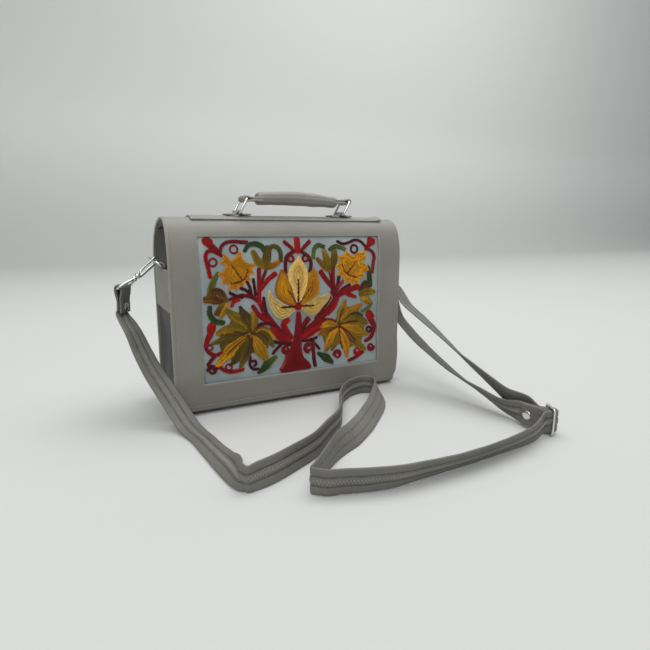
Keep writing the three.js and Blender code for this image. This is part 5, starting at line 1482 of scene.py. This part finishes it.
vein_strokes = [
    ("rust", (1.6, 1.6, 1.4), [(43, 43), (38, 36), (32, 28)]),
    ("rust", (1.6, 1.6, 1.4), [(43, 43), (47, 38), (48, 32)]),
    ("rust", (1.6, 1.6, 1.4), [(43, 43), (37, 45), (31, 45)]),
    ("crimson rust", (1.8, 1.6, 1.4), [(162, 41), (167, 35), (173, 28)]),
    ("crimson rust", (1.8, 1.6, 1.4), [(162, 41), (158, 37), (156, 31)]),
    ("crimson rust", (1.8, 1.6, 1.4), [(162, 41), (168, 44), (175, 45)]),
    ("maroon", (2.4, 2.2, 2), [(103, 73), (103, 58), (103, 45)]),
    ("crimson maroon", (2.4, 2.2, 2), [(102, 73.5), (93, 73), (83.5, 73)]),
    ("crimson maroon", (2.4, 2.2, 2), [(104, 73.5), (113, 73), (121, 73.5)]),
    ("rust brown", (1.6, 1.5, 1.4), [(102, 71), (97, 63), (92, 56)]),
    ("rust brown", (1.6, 1.5, 1.4), [(104, 71), (111, 62), (117, 54)]),
    ("scarlet", 6, [(101.5, 73.5), (103, 74), (104.5, 73.5)]),
    ("brown rust", (1.8, 1.8, 1.5), [(49, 96), (36, 95), (20, 96)]),
    ("brown", (1.8, 1.8, 1.5), [(50, 94), (46, 86), (42, 77)]),
    ("rust", (1.8, 1.8, 1.5), [(48, 99), (36, 107), (25, 116)]),
    ("brown", (1.8, 1.8, 1.5), [(51, 100), (51, 110), (48, 122)]),
    ("rust brown", (1.8, 1.8, 1.5), [(54, 97), (62, 100), (68, 107)]),
    ("crimson rust", (2.0, 1.8, 1.6), [(153, 97), (164, 95), (176, 95)]),
    ("crimson rust", (2.0, 1.8, 1.6), [(153, 99), (163, 106), (174, 117)]),
    ("crimson rust", (2.0, 1.8, 1.6), [(152, 100), (154, 112), (157, 124)]),
    ("brown rust", (1.8, 1.8, 1.6), [(152, 96), (155, 86), (157, 77)]),
    ("brown rust", (1.8, 1.8, 1.6), [(150, 99), (143, 102), (137, 106)]),
    ("brown", (1.8, 1.8, 1.6), [(13, 60), (18, 61), (24, 63)]),
]
print("strokes:", len(trunk_strokes) + len(petal_strokes) + len(curl_strokes) + len(vein_strokes))

# %% [markdown]
# Each stroke is a smooth curve. A fine net of points over the window then asks, for every
# stroke in turn, how deep inside it each point lies. The last stroke wins, as later stitches
# lie over earlier ones. The depth gives the wool its rounded height and the owner its colour.


# %% The ground of wool
def on_satin(x, y, lift):
    """Pattern millimetres as points raised from the satin, with the outward direction."""
    z = window_high - np.asarray(y) * mm
    depth = front_depth(z, leather + clearance)
    slope = (front_depth(z + 1 * mm, leather + clearance) - front_depth(z - 1 * mm, leather + clearance)) / (2 * mm)
    out = unit(np.stack([np.zeros_like(slope), -np.ones_like(slope), slope], -1))
    place = np.stack([np.asarray(x) * mm - window_half, depth, z], -1)
    return place + out * (np.asarray(lift) * mm)[..., None], out


def loop_line(centre, radius, turns, start):
    """A ring, or a spiral that closes in on its centre by two thirds."""
    angle = math.radians(start) + np.linspace(0, 2 * math.pi * turns, int(26 * turns))
    size = radius * (1 if turns == 1 else 1 - 0.68 * np.linspace(0, 1, len(angle)))
    return np.stack([centre[0] + size * np.cos(angle), centre[1] + size * np.sin(angle)], 1)


plumpness = 1.1


def stroke(colours, widths, points):
    """A stroke's line at a fine spacing, with its width and its share along the line. Wool
    spreads, so it covers a little more than the drawn width."""
    line = resample(through(points, 10), 0.5, 6)
    share = np.linspace(0, 1, len(line))
    width = np.interp(share, [0, 0.55, 1], np.broadcast_to(widths, 3)) * plumpness
    return dict(colours=colours.split(), line=line, width=width, share=share)


def whole_leaf(colours, points):
    """A leaf with a smooth closed outline."""
    return dict(colours=colours.split(), outline=resample(through(points + points[:1], 8), 0.5)[:-1])


motifs = [whole_leaf(*row) for row in fan_grounds]
motifs += [stroke(*row) for row in trunk_strokes + petal_strokes]
motifs += [whole_leaf(*row) for row in leaf_outlines]
motifs += [stroke(*row) for row in curl_strokes]
motifs += [stroke(colour, width, loop_line(*ring)) for colour, width, *ring in curl_loops]
motifs += [stroke(*row) for row in vein_strokes]

net, net_start = 0.75, 0.4
pattern_wide, pattern_tall = 2 * window_half / mm, (window_high - window_low) / mm
net_x, net_y = np.meshgrid(np.arange(net_start, pattern_wide, net), np.arange(net_start, pattern_tall, net))
owner = np.full(net_x.shape, -1)
deep = np.full(net_x.shape, -9.0)
way_along = np.zeros(net_x.shape)


def depth_in(motif, x, y):
    """How deep points lie inside a motif, and their share along it. In a stroke that is
    half the width less the distance to the line. In an outline it is the distance to the
    outline, negative where a ray to the right crosses it an even number of times."""
    line = motif.get("line", motif.get("outline"))
    away = np.hypot(x[..., None] - line[:, 0], y[..., None] - line[:, 1])
    nearest = away.argmin(-1)
    away = away.min(-1)
    if "line" in motif:
        return motif["width"][nearest] / 2 - away, motif["share"][nearest]
    after = np.roll(line, -1, 0)
    spans = (line[:, 1] > y[..., None]) != (after[:, 1] > y[..., None])
    rise = np.where(after[:, 1] == line[:, 1], 1e-9, after[:, 1] - line[:, 1])
    meet = line[:, 0] + (y[..., None] - line[:, 1]) / rise * (after[:, 0] - line[:, 0])
    inside = (spans & (meet > x[..., None])).sum(-1) % 2 == 1
    return np.where(inside, away, -away), np.clip(1 - away / 6, 0, 1)


for number, motif in enumerate(motifs):
    line = motif.get("line", motif.get("outline"))
    reach = motif["width"].max() / 2 + 2 if "line" in motif else 2
    near = ((net_x > line[:, 0].min() - reach) & (net_x < line[:, 0].max() + reach)
            & (net_y > line[:, 1].min() - reach) & (net_y < line[:, 1].max() + reach))
    found, share = depth_in(motif, net_x[near], net_y[near])
    take = (found > 0) | ((found > -1.1) & (deep[near] < found))
    where = tuple(index[take] for index in np.nonzero(near))
    owner[where], deep[where], way_along[where] = number, found[take], share[take]

linear = {name: np.array(srgb(*value)[:3]) for family in wool_colours.values() for name, value in family.items()}
first_colour, last_colour = (np.array([linear[m["colours"][end]] for m in motifs] + [linear["olive"]])
                             for end in (0, -1))


def paint(piece, colours):
    """Thread colour for each vertex, for the wool to read."""
    layer = piece.data.color_attributes.new("thread_colour", "FLOAT_COLOR", "POINT")
    flat = np.concatenate([colours.reshape(-1, 3), np.ones((colours.size // 3, 1))], 1)
    layer.data.foreach_set("color", flat.astype(np.float32).ravel())


round_over = 1.7
dome = np.sqrt(np.clip(1 - (1 - np.clip(deep / round_over, 0, 1)) ** 2, 0, 1))
net_height = np.where(deep > 0, 0.05 + 0.55 * dome, -0.45)
net_points, _ = on_satin(net_x, net_y, net_height)
net_faces = quads(*net_x.shape)
kept = (deep.ravel()[net_faces] > 0).any(1)
ground_points = net_points.reshape(-1, 3)
used, net_faces = np.unique(net_faces[kept], return_inverse=True)
net_faces = net_faces.reshape(-1, 4)[:, ::-1]
ground = add_mesh("wool_ground", ground_points[used], net_faces.tolist(), slot="cloth")
blend = way_along.ravel()[used][:, None]
who = owner.ravel()[used]
# The ground takes the stroke colours at 0.62 of their brightness: painted shade in the gaps between the chain loops.
paint(ground, (first_colour[who] * (1 - blend) + last_colour[who] * blend) * 0.62)
thicken(ground, 0.2 * mm)
dress(ground, wool)
print("wool ground:", len(net_faces), "faces")

# %% [markdown]
# Chain stitch is a row of loops, each held down by the next. One loop is a ring of eight
# points with a three-sided section, 24 faces in all. A stroke is filled with rows side by
# side, and a leaf with rows that follow its outline further and further in. Loops that
# would lie under a later stroke are left out.

# %% Rows of chain stitch
loop_pitch, row_pitch = 2.0, 1.45


def rows_of(motif):
    """Rows as arrays of x, y and share. In a stroke each row keeps its share of the width;
    in an outline a row is the outline moved inwards, where nothing else is nearer."""
    made = []
    if "line" in motif:
        line, width = motif["line"], motif["width"]
        ends = [line[:1] + unit(line[:1] - line[1:2]) * 0.35 * width[0],
                line[-1:] + unit(line[-1:] - line[-2:-1]) * 0.35 * width[-1]]
        line = np.concatenate([ends[0], line, ends[1]])
        width = np.concatenate([width[:1], width, width[-1:]])
        share = np.concatenate([[0], motif["share"], [1]])
        way = unit(np.gradient(line, axis=0))
        count = max(1, int(round(width.max() / row_pitch)))
        for k in range(count):
            at = (k + 0.5) / count - 0.5
            row = line + (at * width)[:, None] * np.stack([-way[:, 1], way[:, 0]], 1)
            thin = (width / count < 0.8) & (k % 2 == 1)
            made.append((row, share, ~thin))
        return made
    line = motif["outline"]
    way = unit(np.roll(line, -1, 0) - np.roll(line, 1, 0))
    inward = np.stack([-way[:, 1], way[:, 0]], 1)
    if depth_in(motif, line[:, 0] + inward[:, 0], line[:, 1] + inward[:, 1])[0].mean() < 0:
        inward = -inward
    for k in range(12):
        offset = row_pitch * (k + 0.45)
        row = line + inward * offset
        found, _ = depth_in(motif, row[:, 0], row[:, 1])
        fits = found > offset - 0.12
        if not fits.any():
            break
        made.append((row, np.full(len(row), max(0.0, 1 - offset / 6)), fits))
    return made


def loops_of(number, motif):
    """Evenly spaced loops along each row, where the motif is the one on top: place,
    direction, share, depth and shade. Each row has a shade of its own and a shift of its
    own between the two colours."""
    found = []
    for row, share, fits in rows_of(motif):
        along = lengths(row)
        at = np.arange(loop_pitch / 2, along[-1], loop_pitch)
        if not len(at):
            continue
        x, y, s, ok = (np.interp(at, along, v) for v in (row[:, 0], row[:, 1], share, fits.astype(float)))
        ahead_x, ahead_y = (np.interp(at + 0.4, along, v) - np.interp(at - 0.4, along, v) for v in row.T)
        i = np.clip(((y - net_start) / net).round().astype(int), 0, net_y.shape[0] - 1)
        j = np.clip(((x - net_start) / net).round().astype(int), 0, net_x.shape[1] - 1)
        good = (ok > 0.9) & (owner[i, j] == number) & (deep[i, j] > 0.05) & (np.hypot(ahead_x, ahead_y) > 0.2)
        row_shade = np.full(len(at), rng.uniform(0.64, 1.26))
        s = np.clip(s + rng.uniform(-0.45, 0.45), 0, 1)
        found.append(np.stack([x, y, ahead_x, ahead_y, s, deep[i, j], row_shade], 1)[good])
    return np.concatenate(found) if found else np.zeros((0, 7))


def chain_loop():
    """One loop: a teardrop in plan, pointed behind and round in front, raised in its
    middle, with a three-sided section."""
    turn = np.radians([180, 140, 95, 45, 0, -45, -95, -140])
    x = 1.15 * np.cos(turn)
    y = 0.50 * np.sin(turn) * (0.72 + 0.28 * np.cos(turn))
    z = 0.22 - 0.30 * np.cos(turn) ** 2 * (np.cos(turn) < 0) - 0.12 * (np.cos(turn) > 0) * np.cos(turn) ** 2
    line = np.stack([x, y, z], 1)
    side, other = carried_frames(line, (0, 0, 1), True)
    section = np.radians([90, 210, 330])
    grid = line[:, None] + 0.34 * (np.cos(section)[None, :, None] * side[:, None]
                                   + np.sin(section)[None, :, None] * other[:, None])
    return grid.reshape(-1, 3) * mm, quads(8, 3, True, True)


loop_shape, loop_faces = chain_loop()
for family, members in wool_colours.items():
    gathered, tint = [], []
    for number, motif in enumerate(motifs):
        if motif["colours"][0] in members:
            loops = loops_of(number, motif)
            gathered.append(loops)
            blend = loops[:, 4:5]
            tint.append(first_colour[number] * (1 - blend) + last_colour[number] * blend)
    loops, tint = np.concatenate(gathered), np.concatenate(tint)
    height = 0.42 + 0.38 * np.clip(loops[:, 5] / round_over, 0, 1)
    place, out = on_satin(loops[:, 0], loops[:, 1], height)
    ahead, _ = on_satin(loops[:, 0] + loops[:, 2], loops[:, 1] + loops[:, 3], height)
    size = rng.uniform(0.93, 1.1, len(loops))
    points, faces = copies(loop_shape, loop_faces, place, ahead - place, out, size)
    chain = add_mesh(f"{family}_chain_stitch", points, faces, slot="cloth")
    shade = loops[:, 6:] * rng.uniform(0.84, 1.14, (len(loops), 1)) * (1 + rng.normal(0, 0.03, (len(loops), 3)))
    paint(chain, np.repeat((tint * shade)[:, None], len(loop_shape), 1))
    dress(chain, wool)
    print(chain.name, len(loops), "loops")

# %% [markdown]
# ## Floor, wall and light
# The photograph shows pale cloth under and behind the bag. Here a plain pale sweep does the
# same work: one sheet that is floor in front and turns up far behind the bag. Large soft
# lights stand above and at the front left, so every shadow has a wide edge, and one more
# lights the wall.

# %% Floor and wall
sweep_bend, sweep_back = 1.2, 2.2
turn_up = np.linspace(0, math.pi / 2, 24)
sweep_line = np.concatenate([
    [[-3.0, 0.0]], np.stack([sweep_back + sweep_bend * np.sin(turn_up), sweep_bend - sweep_bend * np.cos(turn_up)], 1),
    [[sweep_back + sweep_bend, 4.0]],
])
sweep_x = np.linspace(-6, 9, 7)
y, x = np.meshgrid(sweep_line[:, 0], sweep_x, indexing="ij")
z = np.broadcast_to(sweep_line[:, 1:], y.shape)
floor = add_mesh("pale_floor", np.stack([x, y, z - 0.0004], -1), quads(*y.shape).tolist())
paper, tree, shader, place = new_material("Pale studio floor", {"Roughness": 0.85})
height = node(tree, "SeparateXYZ", [(0, place)])
turned_up = node(tree, "MapRange", [(0, height.outputs[2]), (1, 0.02), (2, 1.0)], interpolation_type="SMOOTHSTEP")
tone = node(tree, "Mix", [(0, turned_up.outputs[0]), (6, srgb(192, 193, 190)), (7, srgb(222, 224, 220))],
            data_type="RGBA")
tree.links.new(tone.outputs[2], shader.inputs["Base Color"])
dress(floor, paper)


# %% Soft light
def add_softbox(name, place, target, size, power):
    """A square area light at a place, turned towards a target."""
    lamp = bpy.data.lights.new(name, "AREA")
    lamp.size, lamp.energy = size, power
    softbox = bpy.data.objects.new(name, lamp)
    bpy.context.collection.objects.link(softbox)
    back = unit(np.array(place, float) - np.array(target, float))
    side = unit(np.cross([0, 0, 1.0], back)) if abs(back[2]) < 0.99 else np.array([1.0, 0, 0])
    pose = np.eye(4)
    pose[:3, 0], pose[:3, 1], pose[:3, 2], pose[:3, 3] = side, np.cross(back, side), back, place
    softbox.matrix_world = Matrix(pose.tolist())


add_softbox("overhead", (0.15, 0.2, 2.0), (0.1, -0.1, 0), 1.8, 27)
add_softbox("front_window", (-1.0, -1.5, 1.9), (0, 0, 0.1), 1.6, 28)
add_softbox("wall_wash", (2.4, 0.6, 3.2), (2.6, 3.4, 0.9), 3.6, 75)
world = bpy.data.worlds.new("soft room")
world.use_nodes = True
background = world.node_tree.nodes["Background"]
background.inputs["Color"].default_value = (0.86, 0.89, 0.92, 1)
background.inputs["Strength"].default_value = 0.42
bpy.context.scene.world = world
bpy.context.scene.view_settings.view_transform = "Standard"
